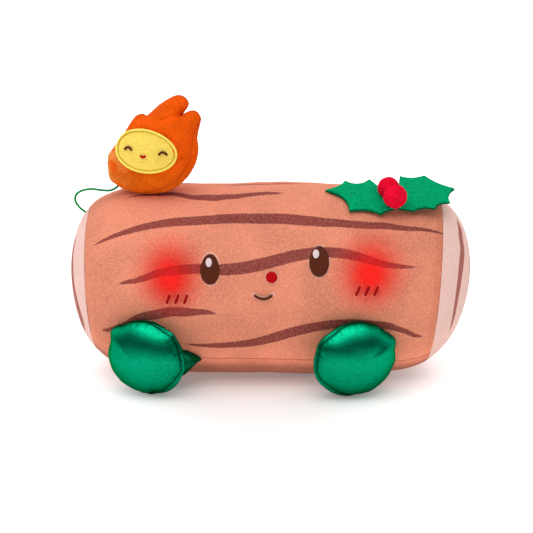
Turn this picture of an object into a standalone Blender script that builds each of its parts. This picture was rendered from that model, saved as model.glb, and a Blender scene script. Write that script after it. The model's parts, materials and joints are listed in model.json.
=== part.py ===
"""A stuffed soft toy in the shape of a yule log, with a little flame and a holly sprig on top.

The log lies along X on a flat underside, +Z is up and its face looks along -Y. The origin is
the middle of the underside. Everything is in metres.
"""
import math

import bmesh
import bpy
import numpy as np
from mathutils import Matrix, Vector

MM = 0.001
GAP = 0.3 * MM  # clearance between pieces that touch
WELD = 0.01 * MM
CURVE_SAMPLES = 24  # fine points between two corners of a smooth curve

# The log: a turned pillow whose two ends lean a little outwards
AXIS_HEIGHT = 69 * MM
LOG_RADIUS = 70.9 * MM
LOG_HALF = 146.4 * MM
SHOULDER = 6.9  # the higher, the squarer the shoulders
CROWN = 2.1  # the higher, the flatter the end panels
LOG_STEPS = 60
BARREL_ROWS = 18
END_ROWS = 7
SEAM_LEFT = -128.5 * MM
SEAM_RIGHT = 121.6 * MM
SEAM_EDGE_ANGLE = 50
LEAN = {"left": -0.058, "right": 0.103}
STRETCH = {"left": -0.0113, "right": 0.0324}
UNSTRETCH = 0.97  # from a place on the leaning log to the same place on the straight one

# The two feet: puffy discs of two panels, on a short cuff sewn into the log's front seam
FOOT_HEIGHT = 28.1 * MM
FOOT_FRONT = 17 * MM
FOOT_BACK = 12 * MM
FOOT_SEAM_POWER = 1.2
FOOT_PITCH = 8
CORNER_BUMP = 2.2 * MM
CORNER_SPREAD = 13
FOOT_DETAIL = (30, 12)
FEET = {
    "left": {"centre": (-82.4, -75.5), "half_width": 28.9, "yaw": -20, "corner": 141},
    "right": {"centre": (64.3, -75.5), "half_width": 30.6, "yaw": 18, "corner": 25},
}
FOOT_CLEAR = 0.6 * MM
CUFF_HEIGHT = 19.8 * MM
CUFF_DEPTH_AT = -54 * MM
CUFF_HALF = 29 * MM
CUFF_UP = 12 * MM
CUFF_DOWN = 11.5 * MM
CUFF_FRONT = 14 * MM
CUFF_FLARE = {"low": 15, "high": 9, "deep": 5}  # how far from a corner it opens out, in mm
CUFF_DETAIL = (12, 14)
CUFF_X = {"left": -73.5, "right": 65}

# The flame: a puffy three-lobed toy with its own outline, in mm from its middle
FLAME_CENTRE = Vector((-80 * MM, -22 * MM, 165 * MM))
FLAME_YAW = -15
FLAME_FULLNESS = 0.86
FLAME_CLEAR = 0.5 * MM
FLAME_HUB = (-8, 4)
FLAME_OUTLINE = [
    (33.1, 2.3), (32.6, 13), (34.2, 20), (35.8, 26), (33.2, 30.8), (29, 31.9), (24.4, 30.2),
    (21.2, 28.2), (25.4, 33.6), (26.6, 37.2), (23.6, 41.4), (18.1, 42.5), (12.7, 40.3),
    (4.3, 35.1), (-4.8, 27.6), (-8.4, 28.6), (-12.4, 27.7), (-15.8, 24.4), (-20.9, 16.5),
    (-27.3, 8.3), (-33.8, 0.1), (-35.8, -7), (-34.6, -14.5), (-29.6, -21.4), (-20.5, -27),
    (-6.2, -29.3), (11.7, -25.8), (23, -18.2), (30.6, -7.1),
]
FLAME_SEGMENTS = 80
FLAME_ROWS = 7
SKIN_GRID = 1.0  # spacing in mm of the grid that the flame's skin is relaxed on
SKIN_ROUNDS = 1600
PATCH_CENTRE = (0.6, 3.4)
PATCH_HALF = (21.2, 14.2)
PATCH_TURN = -6
PATCH_HEIGHT = 1.0 * MM
PATCH_DETAIL = (28, 10)
RIM_RADIUS = 1.2 * MM
RIM_STEP_OUT = 0.5
RIM_POINTS = 40
FLAME_MARKS = {
    "flame_eye_left": ((-11.4, 3.6), 3.1, 2.2, "brown"),
    "flame_eye_right": ((13.0, 1.2), 3.1, 2.2, "brown"),
    "flame_mouth": ((-0.4, 0.6), 1.9, -1.3, "red"),
}

# Embroidery on the log: place along the log in mm, angle up from the front in degrees
STITCH_LIFT = 0.35 * MM
PAD_HEIGHT = 0.9 * MM
EYES = {"left": (-37.1, 16.8, 6.7, 10.8), "right": (38.9, 21.7, 6.8, 11.0)}
GLINTS = {"left": (-37.9, 20.4), "right": (36.6, 25.7)}
GLINT_HALF = (2.2, 3.2)
EYE_NARROWING = 0.1
PAD_DETAIL = (20, 8)
GLINT_DETAIL = (14, 6)
NOSE = (6.0, 12.4)
NOSE_HALF = 4.1
SMILE_MIDDLE = (0.3, 0.2)
SMILE_HALF = 6.6
SMILE_DROP = 2.9
THREAD_RADIUS = 0.85 * MM
BLUSH = {"left": (-60.4, -0.3), "right": (71.9, 5.0)}
DASH_SPACING = 6.2
DASH_REACH = (1.4, 3.4)

# The holly: two felt leaves and two wool berries, in mm along the log and round it
HOLLY_ANGLE = 66
HOLLY_SHEET_RADIUS = 200 * MM
HOLLY_LIFT = 1.9 * MM
LEAF_THICK = 2.4 * MM
LEAF_GRID = 8
LEAF_WAVE = 0.35 * MM
LEAF_WAVE_LENGTHS = (7, 8)
HOLLOW_STEPS = 5
LEAVES = {
    "left": [
        (43.6, 8.4), (57.9, 23.9), (76.2, 25.1), (82.0, 11.2), (81.4, 3.0), (84.2, -6.0),
        (91.0, -9.0), (93.0, -14.5), (83.0, -21.0), (60.5, -17.1),
    ],
    "right": [
        (98.8, 32.5), (117.1, 32.7), (137.4, 11.8), (133.1, -7.9), (121.0, -14.6),
        (106.3, -16.6), (95.6, -14.5), (95.6, -4.0), (96.2, 6.0),
    ],
}
LEAF_HOLLOWS = {
    "left": [0.26, 0.7, 0, 0, 0, 0, 0, 0.2, 0.24, 0.32],
    "right": [0.4, 0.2, 0.44, 0.44, 0.32, 0, 0, 0, 0],
}
BERRIES = {"back": ((88.8, -30.4, 142.1), 7.8), "front": ((92.5, -46.6, 138.3), 8.4)}
BERRY_DETAIL = (18, 10)

# The cord from the log's left seam to the flame
CORD_RADIUS = 0.85 * MM
CORD_POINTS = 17
CORD_ROUTE = [
    (-131.6, -17.2, 121.2), (-135.2, -17.4, 123.9), (-138.4, -17.6, 128.0), (-139.2, -17.8, 131.6),
    (-137.6, -18.0, 135.2), (-133.4, -18.2, 137.5), (-127.0, -18.3, 138.6), (-120.0, -18.2, 137.8),
    (-113.6, -17.6, 137.5), (-109.6, -16.6, 139.0), (-107.4, -15.6, 140.8),
]

COLOURS = {
    "bark": ((0.78, 0.36, 0.24), 0.9, 0.0),
    "end": ((0.86, 0.68, 0.60), 0.9, 0.0),
    "foil": ((0.01, 0.42, 0.20), 0.35, 0.7),
    "flame": ((0.84, 0.16, 0.01), 0.9, 0.0),
    "yellow": ((0.94, 0.70, 0.10), 0.85, 0.0),
    "gold": ((0.85, 0.50, 0.03), 0.5, 0.0),
    "felt": ((0.0, 0.34, 0.13), 0.95, 0.0),
    "wool": ((0.75, 0.0, 0.03), 0.9, 0.0),
    "brown": ((0.10, 0.03, 0.01), 0.6, 0.0),
    "white": ((0.9, 0.88, 0.88), 0.5, 0.0),
    "red": ((0.45, 0.0, 0.01), 0.6, 0.0),
    "cord": ((0.0, 0.18, 0.04), 0.7, 0.0),
}


def clear_scene():
    for old in list(bpy.data.objects):
        bpy.data.objects.remove(old, do_unlink=True)


def new_collection(name):
    collection = bpy.data.collections.new(name)
    bpy.context.scene.collection.children.link(collection)
    return collection


def finish_of(name):
    """The Principled material of that name, made the first time it is asked for."""
    material = bpy.data.materials.get(name)
    if material is None:
        colour, roughness, metallic = COLOURS[name]
        material = bpy.data.materials.new(name)
        material.use_nodes = True
        shader = material.node_tree.nodes["Principled BSDF"]
        shader.inputs["Base Color"].default_value = (*colour, 1)
        shader.inputs["Roughness"].default_value = roughness
        shader.inputs["Metallic"].default_value = metallic
    return material


def add_object(name, data, finish=None):
    """Put a mesh or a curve in the model's own collection and give it a finish."""
    piece = bpy.data.objects.new(name, data)
    collection = PARTS if finish else CUTTERS
    collection.objects.link(piece)
    if finish:
        data.materials.append(finish_of(finish))
    else:
        piece.hide_render = True
        piece.display_type = "WIRE"
    return piece


def to_mesh(bm, name):
    """Close the bmesh into a named mesh with its faces out and smooth."""
    bmesh.ops.recalc_face_normals(bm, faces=bm.faces)
    if bm.calc_volume(signed=True) < 0:
        bmesh.ops.reverse_faces(bm, faces=bm.faces)
    mesh = bpy.data.meshes.new(name)
    bm.to_mesh(mesh)
    bm.free()
    mesh.shade_smooth()
    return mesh


def evaluated_mesh(piece, name):
    """The piece with its modifiers or its bevel made real, welded, in a mesh of its own."""
    bpy.context.view_layer.update()
    graph = bpy.context.evaluated_depsgraph_get()
    mesh = bpy.data.meshes.new_from_object(piece.evaluated_get(graph))
    bm = bmesh.new()
    bm.from_mesh(mesh)
    bmesh.ops.remove_doubles(bm, verts=bm.verts, dist=WELD)
    bpy.data.meshes.remove(mesh)
    return to_mesh(bm, name)


def spread_along(route, count, closed=False):
    """That many points, evenly spread along the smooth curve through the route's own points."""
    route = np.array(route, float)
    if closed:
        padded = np.vstack([route[-1], route, route[:2]])
    else:
        padded = np.vstack([2 * route[0] - route[1], route, 2 * route[-1] - route[-2]])
    fine = []
    for before, start, end, after in zip(padded, padded[1:], padded[2:], padded[3:]):
        slope = end - before
        curl = 2 * before - 5 * start + 4 * end - after
        twist = 3 * start - before - 3 * end + after
        for t in np.linspace(0, 1, CURVE_SAMPLES, endpoint=False):
            fine.append(start + (slope * t + curl * t ** 2 + twist * t ** 3) / 2)
    fine = np.array([*fine, padded[-2]])
    travelled = np.concatenate([[0], np.cumsum(np.linalg.norm(np.diff(fine, axis=0), axis=1))])
    wanted = np.linspace(0, travelled[-1], count, endpoint=not closed)
    return np.stack([np.interp(wanted, travelled, level) for level in fine.T], axis=1)


def log_radius(x):
    """The straight log's radius at a distance from its middle."""
    return LOG_RADIUS * (1 - abs(x / LOG_HALF) ** SHOULDER) ** (1 / CROWN)


def lean_out(x, y, z):
    """Move a point of the straight log, z from its axis, to the leaning, flat-bottomed log."""
    side = "left" if x < 0 else "right"
    weight = (x / LOG_HALF) ** 2
    shift = LEAN[side] * z * weight
    return Vector((x * (1 + STRETCH[side] * weight) + shift, y, max(z, -AXIS_HEIGHT) + AXIS_HEIGHT))


def log_point(x, degrees, lift):
    """A point above the log's skin: 0 degrees is the front and 90 the top."""
    angle = math.radians(degrees)
    radius = log_radius(x) + lift
    return lean_out(x, -radius * math.cos(angle), radius * math.sin(angle))


def push_clear(point, clearance):
    """Move a point that lies inside the log out to its skin, as soft pieces press together."""
    reach = Vector((0, point.y, point.z - AXIS_HEIGHT))
    wanted = log_radius(point.x * UNSTRETCH) + clearance
    if reach.length < wanted:
        reach *= wanted / reach.length
    return Vector((point.x, reach.y, reach.z + AXIS_HEIGHT))


def turned_piece(name, profile, finish):
    """A closed solid turned about the log's axis from pairs of place and radius, left to right."""
    points = [(radius, 0, x) for x, radius in reversed(profile)]
    edges = [(i, i + 1) for i in range(len(points) - 1)]
    outline = bpy.data.meshes.new(name + "_profile")
    outline.from_pydata(points, edges, [])
    guide = add_object(name + "_profile", outline)
    screw = guide.modifiers.new("turn", "SCREW")
    screw.steps = LOG_STEPS
    screw.render_steps = LOG_STEPS
    screw.use_merge_vertices = True
    screw.merge_threshold = WELD
    mesh = evaluated_mesh(guide, name)
    bpy.data.objects.remove(guide, do_unlink=True)
    mesh.transform(Matrix.Rotation(math.radians(90), 4, "Y"))
    for vertex in mesh.vertices:
        vertex.co = lean_out(*vertex.co)
    mesh.shade_smooth()
    mesh.set_sharp_from_angle(angle=math.radians(SEAM_EDGE_ANGLE))
    return add_object(name, mesh, finish)


def barrel_profile(grow):
    start = SEAM_LEFT + GAP / 2
    end = SEAM_RIGHT - GAP / 2
    rows = []
    for i in range(BARREL_ROWS + 1):
        turn = math.pi * i / BARREL_ROWS
        x = start + (end - start) * (1 - math.cos(turn)) / 2
        rows.append((x, log_radius(x) + grow))
    return [(start, 0), *rows, (end, 0)]


def end_profile(seam, tip):
    rows = []
    for i in range(END_ROWS):
        x = seam + (tip - seam) * math.sin(math.pi / 2 * i / END_ROWS)
        rows.append((x, log_radius(x)))
    profile = [(seam, 0), *rows, (tip, 0)]
    return profile if tip > seam else profile[::-1]


def make_log():
    turned_piece("log_barrel", barrel_profile(0), "bark")
    turned_piece("end_left", end_profile(SEAM_LEFT - GAP / 2, -LOG_HALF), "end")
    turned_piece("end_right", end_profile(SEAM_RIGHT + GAP / 2, LOG_HALF), "end")


def moulded_mesh(name, place, segments, rings):
    """A ball whose every point, as a unit vector, is moved by the given rule."""
    bm = bmesh.new()
    bmesh.ops.create_uvsphere(bm, u_segments=segments, v_segments=rings, radius=1)
    for vertex in bm.verts:
        vertex.co = place(vertex.co.copy())
    return to_mesh(bm, name)


def foot_mesh(name, half_width, corner, matrix, grow):
    """A two-panel pad in its own frame: x to its right, z up and its puffy front along -y."""
    inverse = matrix.inverted()

    def place(unit):
        across, up, out = unit
        rim = min(1, math.hypot(across, up))
        angle = math.atan2(up, across)
        oval = 1 / math.hypot(math.cos(angle) / half_width, math.sin(angle) / FOOT_HEIGHT)
        off = (math.degrees(angle) - corner) / CORNER_SPREAD
        radius = (oval + CORNER_BUMP * math.exp(-off * off) + grow) * rim
        depth = FOOT_FRONT if out > 0 else FOOT_BACK
        forward = (depth + grow) * abs(out) ** FOOT_SEAM_POWER
        local = Vector((radius * math.cos(angle), -math.copysign(forward, out), radius * math.sin(angle)))
        world = push_clear(matrix @ local, FOOT_CLEAR - grow)
        world.z = max(world.z, 0)
        return inverse @ world

    return moulded_mesh(name, place, *FOOT_DETAIL)


def foot_matrix(centre, yaw):
    place = Vector((centre[0] * MM, centre[1] * MM, FOOT_HEIGHT - 0.3 * MM))
    turn = Matrix.Rotation(math.radians(yaw), 4, "Z")
    tip = Matrix.Rotation(math.radians(FOOT_PITCH), 4, "X")
    return Matrix.Translation(place) @ turn @ tip


def cuff_mesh(name, centre_x):
    """A lens-shaped cuff along the log's seam, pointed at both ends and flared below."""

    def place(unit):
        along = min(1, max(-1, unit.z))
        ring = math.sqrt(max(0, 1 - along * along))
        back = unit.y / ring if ring > 1e-6 else 0
        up = unit.x / ring if ring > 1e-6 else 0
        to_corner = (1 - abs(along)) * CUFF_HALF / MM
        flare = min(1, to_corner / CUFF_FLARE["low"])
        low = CUFF_DOWN * flare * flare * (3 - 2 * flare)
        high = CUFF_UP * (1 - math.exp(-to_corner / CUFF_FLARE["high"]))
        deep = CUFF_FRONT * (1 - math.exp(-to_corner / CUFF_FLARE["deep"]))
        height = up * (high if up > 0 else low)
        return Vector((centre_x + along * CUFF_HALF, CUFF_DEPTH_AT + back * deep, CUFF_HEIGHT + height))

    return moulded_mesh(name, place, *CUFF_DETAIL)


def cut(piece, cutter):
    """Take the cutter's shape away from the piece, for good."""
    modifier = piece.modifiers.new("trim", "BOOLEAN")
    modifier.operation = "DIFFERENCE"
    modifier.object = cutter
    mesh = evaluated_mesh(piece, piece.data.name + "_cut")
    piece.modifiers.clear()
    piece.data = mesh


def make_feet():
    barrel_cutter = turned_piece("barrel_cutter", barrel_profile(GAP), None)
    for side, foot in FEET.items():
        matrix = foot_matrix(foot["centre"], foot["yaw"])
        shape = (foot["half_width"] * MM, foot["corner"], matrix)
        pad = add_object("foot_" + side, foot_mesh("foot_" + side, *shape, 0), "foil")
        pad.matrix_world = matrix
        pad_cutter = add_object("foot_cutter_" + side, foot_mesh("foot_cutter_" + side, *shape, GAP))
        pad_cutter.matrix_world = matrix
        cuff = add_object("cuff_" + side, cuff_mesh("cuff_" + side, CUFF_X[side] * MM), "foil")
        cut(cuff, barrel_cutter)
        cut(cuff, pad_cutter)


def inside_outline(outline, u, v):
    """Which of the points lie within the closed outline, by counting its crossings."""
    inside = np.zeros(u.shape, bool)
    for (u0, v0), (u1, v1) in zip(outline, np.roll(outline, -1, axis=0)):
        crosses = (v0 > v) != (v1 > v)
        at = u0 + (v - v0) * (u1 - u0) / (v1 - v0 if v1 != v0 else 1)
        inside ^= crosses & (u < at)
    return inside


class Pillow:
    """How far two panels sewn along an outline puff up, from the height of a stretched skin."""

    def __init__(self, outline):
        step = SKIN_GRID
        self.low = outline.min(axis=0) - 2 * step
        size = np.ceil((outline.max(axis=0) + 2 * step - self.low) / step).astype(int) + 1
        levels = [self.low[k] + step * np.arange(size[k]) for k in (0, 1)]
        grid_u, grid_v = np.meshgrid(*levels, indexing="ij")
        cloth = inside_outline(outline, grid_u, grid_v)
        skin = np.zeros(cloth.shape)
        for _ in range(SKIN_ROUNDS):
            around = sum(np.roll(skin, shift, axis) for shift in (-1, 1) for axis in (0, 1))
            skin = np.where(cloth, (around + step * step) / 4, 0)
        self.skin = skin

    def depth(self, u, v):
        """Half the pillow's thickness in metres at a place given in mm."""
        place = (np.array([u, v]) - self.low) / SKIN_GRID
        i, j = np.clip(place.astype(int), 0, np.array(self.skin.shape) - 2)
        a, b = place - (i, j)
        corner = self.skin[i:i + 2, j:j + 2]
        level = (corner[0, 0] * (1 - a) * (1 - b) + corner[1, 0] * a * (1 - b)
                 + corner[0, 1] * (1 - a) * b + corner[1, 1] * a * b)
        return FLAME_FULLNESS * math.sqrt(max(0, 2 * level)) * MM


def flame_point(u, v, out):
    """A world point from the flame's own axes: u across, v up in mm, and out towards the front."""
    turn = Matrix.Rotation(math.radians(FLAME_YAW), 3, "Z")
    return FLAME_CENTRE + turn @ Vector((u * MM, -out, v * MM))


def above_flame(pillow, u, v, lift):
    """A world point that far off the flame's front panel, square to the panel."""
    half = SKIN_GRID / 2
    slope_u = (pillow.depth(u + half, v) - pillow.depth(u - half, v)) / (2 * half * MM)
    slope_v = (pillow.depth(u, v + half) - pillow.depth(u, v - half)) / (2 * half * MM)
    length = math.sqrt(1 + slope_u ** 2 + slope_v ** 2)
    shift = lift / length
    out = pillow.depth(u, v) + shift
    return flame_point(u - slope_u * shift / MM, v - slope_v * shift / MM, out)


def make_flame():
    outline = spread_along(FLAME_OUTLINE, FLAME_SEGMENTS, closed=True)
    pillow = Pillow(outline)
    hub = np.array(FLAME_HUB, float)
    bm = bmesh.new()

    def ring(share, side):
        row = []
        for corner in outline:
            u, v = hub + (corner - hub) * share
            out = pillow.depth(u, v) * side if share < 1 else 0
            row.append(bm.verts.new(push_clear(flame_point(u, v, out), FLAME_CLEAR)))
        return row

    rim = ring(1, 1)
    for side in (1, -1):
        rows = [rim]
        rows += [ring(math.cos(math.pi / 2 * i / FLAME_ROWS), side) for i in range(1, FLAME_ROWS)]
        middle = bm.verts.new(flame_point(*hub, pillow.depth(*hub) * side))
        for outer, inner in zip(rows, rows[1:]):
            for i in range(FLAME_SEGMENTS):
                j = (i + 1) % FLAME_SEGMENTS
                bm.faces.new((outer[i], outer[j], inner[j], inner[i]))
        for i in range(FLAME_SEGMENTS):
            bm.faces.new((rows[-1][i], rows[-1][(i + 1) % FLAME_SEGMENTS], middle))
    add_object("flame_body", to_mesh(bm, "flame_body"), "flame")
    return pillow


def oval_point(centre, half, turn, across, up):
    """A place in an oval that is turned on the surface, from shares of its two half axes."""
    angle = math.radians(turn)
    a = half[0] * across
    b = half[1] * up
    u = centre[0] + a * math.cos(angle) - b * math.sin(angle)
    v = centre[1] + a * math.sin(angle) + b * math.cos(angle)
    return u, v


def thread_piece(name, points, radius, finish, closed=False):
    """A round thread along the points, with its ends closed, made a welded mesh."""
    curve = bpy.data.curves.new(name + "_path", "CURVE")
    curve.dimensions = "3D"
    curve.bevel_depth = radius
    curve.bevel_resolution = 2
    curve.use_fill_caps = not closed
    spline = curve.splines.new("POLY")
    spline.points.add(len(points) - 1)
    for target, point in zip(spline.points, points):
        target.co = (*point, 1)
    spline.use_cyclic_u = closed
    guide = add_object(name + "_path", curve)
    mesh = evaluated_mesh(guide, name)
    bpy.data.objects.remove(guide, do_unlink=True)
    return add_object(name, mesh, finish)


def make_flame_face(pillow):
    """The yellow patch, its corded edge and a plain sleepy face."""

    def patch_lift(across, up):
        return 2 * GAP + PATCH_HEIGHT * math.sqrt(max(0, 1 - across * across - up * up))

    def on_patch(unit):
        across, up, out = unit
        u, v = oval_point(PATCH_CENTRE, PATCH_HALF, PATCH_TURN, across, up)
        lift = patch_lift(across, up) if out > 0 else 2 * GAP
        return above_flame(pillow, u, v, lift)

    add_object("flame_face", moulded_mesh("flame_face", on_patch, *PATCH_DETAIL), "yellow")
    rim_half = [half + RIM_RADIUS / MM + RIM_STEP_OUT for half in PATCH_HALF]
    rim = []
    for i in range(RIM_POINTS):
        turn = 2 * math.pi * i / RIM_POINTS
        u, v = oval_point(PATCH_CENTRE, rim_half, PATCH_TURN, math.cos(turn), math.sin(turn))
        rim.append(above_flame(pillow, u, v, RIM_RADIUS + GAP))
    thread_piece("flame_rim", rim, RIM_RADIUS, "gold", closed=True)

    for name, (middle, half_width, rise, finish) in FLAME_MARKS.items():
        points = []
        for share in np.linspace(-1, 1, 9):
            u = middle[0] + half_width * share
            v = middle[1] + rise * (1 - share * share)
            across = (u - PATCH_CENTRE[0]) / PATCH_HALF[0]
            up = (v - PATCH_CENTRE[1]) / PATCH_HALF[1]
            lift = patch_lift(across, up) + THREAD_RADIUS + GAP
            points.append(above_flame(pillow, u, v, lift))
        thread_piece(name, points, THREAD_RADIUS, finish)


def stitched_pad(name, centre, half, finish, narrowing=0.0, base=None, detail=PAD_DETAIL):
    """A raised satin-stitched oval on the log; it may narrow upwards or lie on another pad."""

    def place(unit):
        across, up, out = unit
        x = centre[0] + half[0] * across * (1 - narrowing * up)
        arc = half[1] * up * MM
        floor = STITCH_LIFT
        if base:
            (base_x, base_angle), base_half = base
            a = (x - base_x) / base_half[0]
            b = (math.radians(centre[1] - base_angle) * LOG_RADIUS + arc) / (base_half[1] * MM)
            floor += GAP + PAD_HEIGHT * math.sqrt(max(0, 1 - a * a - b * b))
        lift = floor + PAD_HEIGHT * max(0, out)
        return log_point(x * MM, centre[1] + math.degrees(arc / LOG_RADIUS), lift)

    add_object(name, moulded_mesh(name, place, *detail), finish)


def surface_thread(name, places, finish):
    """A thread on the log through places in mm along it and mm up round it from an angle."""
    points = [log_point(x * MM, degrees, STITCH_LIFT + THREAD_RADIUS) for x, degrees in places]
    thread_piece(name, points, THREAD_RADIUS, finish)


def degrees_up(mm):
    return math.degrees(mm * MM / LOG_RADIUS)


def make_embroidery():
    for side, (x, angle, half_width, half_height) in EYES.items():
        base = ((x, angle), (half_width, half_height))
        stitched_pad("eye_" + side, *base, "brown", narrowing=EYE_NARROWING)
        stitched_pad("glint_" + side, GLINTS[side], GLINT_HALF, "white", base=base, detail=GLINT_DETAIL)
    stitched_pad("nose", NOSE, (NOSE_HALF, NOSE_HALF), "red")
    smile = []
    for share in np.linspace(-1, 1, 11):
        drop = degrees_up(SMILE_DROP * share * share)
        smile.append((SMILE_MIDDLE[0] + SMILE_HALF * share, SMILE_MIDDLE[1] + drop))
    surface_thread("smile", smile, "brown")
    across, up = DASH_REACH
    for side, (x, angle) in BLUSH.items():
        for i in range(3):
            middle = x + DASH_SPACING * (i - 1)
            shares = np.linspace(-1, 1, 5)
            dash = [(middle + across * share, angle + degrees_up(up * share)) for share in shares]
            surface_thread(f"blush_{side}_{i + 1}", dash, "red")


def leaf_outline(corners, hollows):
    """The leaf's spikes joined by shallow hollows, each as deep as its share of the side."""
    outline = []
    for i, (start, share) in enumerate(zip(corners, hollows)):
        start = Vector(start)
        end = Vector(corners[(i + 1) % len(corners)])
        side = end - start
        inward = Vector((side.y, -side.x)) * share
        steps = HOLLOW_STEPS if share else 1
        for k in range(steps):
            t = k / steps
            outline.append(start + side * t + inward * 2 * t * (1 - t))
    return outline


def leaf_place(x, across, height):
    """A point of the holly's gently curved sheet: x along the log, across it, and above it."""
    tangent = math.radians(HOLLY_ANGLE)
    normal = Vector((0, -math.cos(tangent), math.sin(tangent)))
    back = Vector((0, math.sin(tangent), math.cos(tangent)))
    turn = across * MM / HOLLY_SHEET_RADIUS
    touch = Vector((x * MM, 0, AXIS_HEIGHT)) + normal * (LOG_RADIUS + HOLLY_LIFT)
    wave = LEAF_WAVE * math.sin(x / LEAF_WAVE_LENGTHS[0]) * math.cos(across / LEAF_WAVE_LENGTHS[1])
    out = normal * (math.cos(turn) * (HOLLY_SHEET_RADIUS + height + wave) - HOLLY_SHEET_RADIUS)
    return touch + out + back * math.sin(turn) * HOLLY_SHEET_RADIUS


def make_leaf(side):
    name = "leaf_" + side
    curve = bpy.data.curves.new(name + "_outline", "CURVE")
    curve.dimensions = "2D"
    curve.fill_mode = "BOTH"
    curve.extrude = LEAF_THICK / 2 / MM
    outline = leaf_outline(LEAVES[side], LEAF_HOLLOWS[side])
    spline = curve.splines.new("POLY")
    spline.points.add(len(outline) - 1)
    for target, point in zip(spline.points, outline):
        target.co = (*point, 0, 1)
    spline.use_cyclic_u = True
    guide = add_object(name + "_outline", curve)
    flat = evaluated_mesh(guide, name + "_flat")
    bpy.data.objects.remove(guide, do_unlink=True)
    bm = bmesh.new()
    bm.from_mesh(flat)
    for axis in (0, 1):
        levels = [vertex.co[axis] for vertex in bm.verts]
        level = min(levels) + LEAF_GRID
        while level < max(levels):
            plane = [0, 0, 0]
            normal = [0, 0, 0]
            plane[axis] = level
            normal[axis] = 1
            everything = bm.verts[:] + bm.edges[:] + bm.faces[:]
            bmesh.ops.bisect_plane(bm, geom=everything, plane_co=plane, plane_no=normal, dist=0.001)
            level += LEAF_GRID
    bmesh.ops.remove_doubles(bm, verts=bm.verts, dist=0.01)
    bmesh.ops.triangulate(bm, faces=bm.faces)
    for vertex in bm.verts:
        vertex.co = leaf_place(vertex.co.x, vertex.co.y, vertex.co.z * MM)
    add_object(name, to_mesh(bm, name), "felt")


def make_holly():
    for side in LEAVES:
        make_leaf(side)
    for side, (centre, radius) in BERRIES.items():
        def place(unit, size=radius):
            return unit * size * MM

        berry = add_object("berry_" + side, moulded_mesh("berry_" + side, place, *BERRY_DETAIL), "wool")
        berry.location = Vector(centre) * MM


def make_cord():
    path = spread_along(CORD_ROUTE, CORD_POINTS) * MM
    thread_piece("flame_cord", path, CORD_RADIUS, "cord")


clear_scene()
PARTS = new_collection("plush_yule_log")
CUTTERS = new_collection("cutters")
make_log()
make_feet()
flame_pillow = make_flame()
make_flame_face(flame_pillow)
make_embroidery()
make_holly()
make_cord()
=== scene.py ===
# %% [markdown]
# # A stuffed yule log
# The toy is a velour log with two shiny feet, a small flame on a cord, a felt holly sprig and an
# embroidered face. The frame holds every piece as a plain solid at its real place and size. Those
# solids could be painted as they are, but plush lives from seams, puckers and stitches, so each
# one is built again here with the same form and a much finer mesh.

# %% Load the frame
import json
import math

import bmesh
import bpy
import numpy as np
from mathutils import Matrix, Vector

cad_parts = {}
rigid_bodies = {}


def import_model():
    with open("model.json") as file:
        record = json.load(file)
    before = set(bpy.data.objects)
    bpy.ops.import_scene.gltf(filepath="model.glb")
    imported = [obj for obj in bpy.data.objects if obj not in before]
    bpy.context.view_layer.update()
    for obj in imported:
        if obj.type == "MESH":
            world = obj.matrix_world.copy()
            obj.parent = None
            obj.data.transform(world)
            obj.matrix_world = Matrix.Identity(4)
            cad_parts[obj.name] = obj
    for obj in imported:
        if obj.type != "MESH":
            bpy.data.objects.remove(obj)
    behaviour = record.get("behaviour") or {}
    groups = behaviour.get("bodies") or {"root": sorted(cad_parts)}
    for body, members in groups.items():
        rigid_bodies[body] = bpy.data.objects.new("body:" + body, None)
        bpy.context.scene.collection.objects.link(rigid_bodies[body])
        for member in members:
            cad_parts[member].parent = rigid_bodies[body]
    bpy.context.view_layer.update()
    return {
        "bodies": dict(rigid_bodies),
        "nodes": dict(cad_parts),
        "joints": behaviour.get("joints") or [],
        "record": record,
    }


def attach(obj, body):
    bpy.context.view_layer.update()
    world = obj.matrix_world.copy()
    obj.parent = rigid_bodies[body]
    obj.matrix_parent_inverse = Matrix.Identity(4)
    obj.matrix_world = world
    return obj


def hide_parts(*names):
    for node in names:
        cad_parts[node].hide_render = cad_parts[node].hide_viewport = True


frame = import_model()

MM = 0.001

# %% [markdown]
# ## Helpers for all shapes
# Nearly everything on the toy is a closed skin: a bag of fabric or a length of thread. Such a skin
# can be written as a row of rings with one point closing each end, like the hoops of a balloon.
# One helper turns the rings into a mesh, and another spreads points along a smooth line. Such a
# piece could also be sculpted, but rings written as a formula keep the frame's measures.

# %% Rings and smooth lines
def even_points(route, count, closed=False):
    """That many points, evenly spread along the smooth curve through the route's own points."""
    route = np.array(route, float)
    if closed:
        padded = np.vstack([route[-1], route, route[:2]])
    else:
        padded = np.vstack([2 * route[0] - route[1], route, 2 * route[-1] - route[-2]])
    fine = []
    for before, start, end, after in zip(padded, padded[1:], padded[2:], padded[3:]):
        slope = end - before
        curl = 2 * before - 5 * start + 4 * end - after
        twist = 3 * start - before - 3 * end + after
        for t in np.linspace(0, 1, 24, endpoint=False):
            fine.append(start + (slope * t + curl * t ** 2 + twist * t ** 3) / 2)
    fine = np.array([*fine, padded[-2]])
    travelled = np.concatenate([[0], np.cumsum(np.linalg.norm(np.diff(fine, axis=0), axis=1))])
    wanted = np.linspace(0, travelled[-1], count, endpoint=not closed)
    return np.stack([np.interp(wanted, travelled, level) for level in fine.T], axis=1)


def ball_angles(rows, columns):
    """Angles for a ball's rings: away from its first closing point, and round its axis."""
    polar = np.linspace(0, math.pi, rows + 2)[1:-1, None]
    turn = np.linspace(0, 2 * math.pi, columns, endpoint=False)
    return np.broadcast_arrays(polar, turn)


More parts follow.
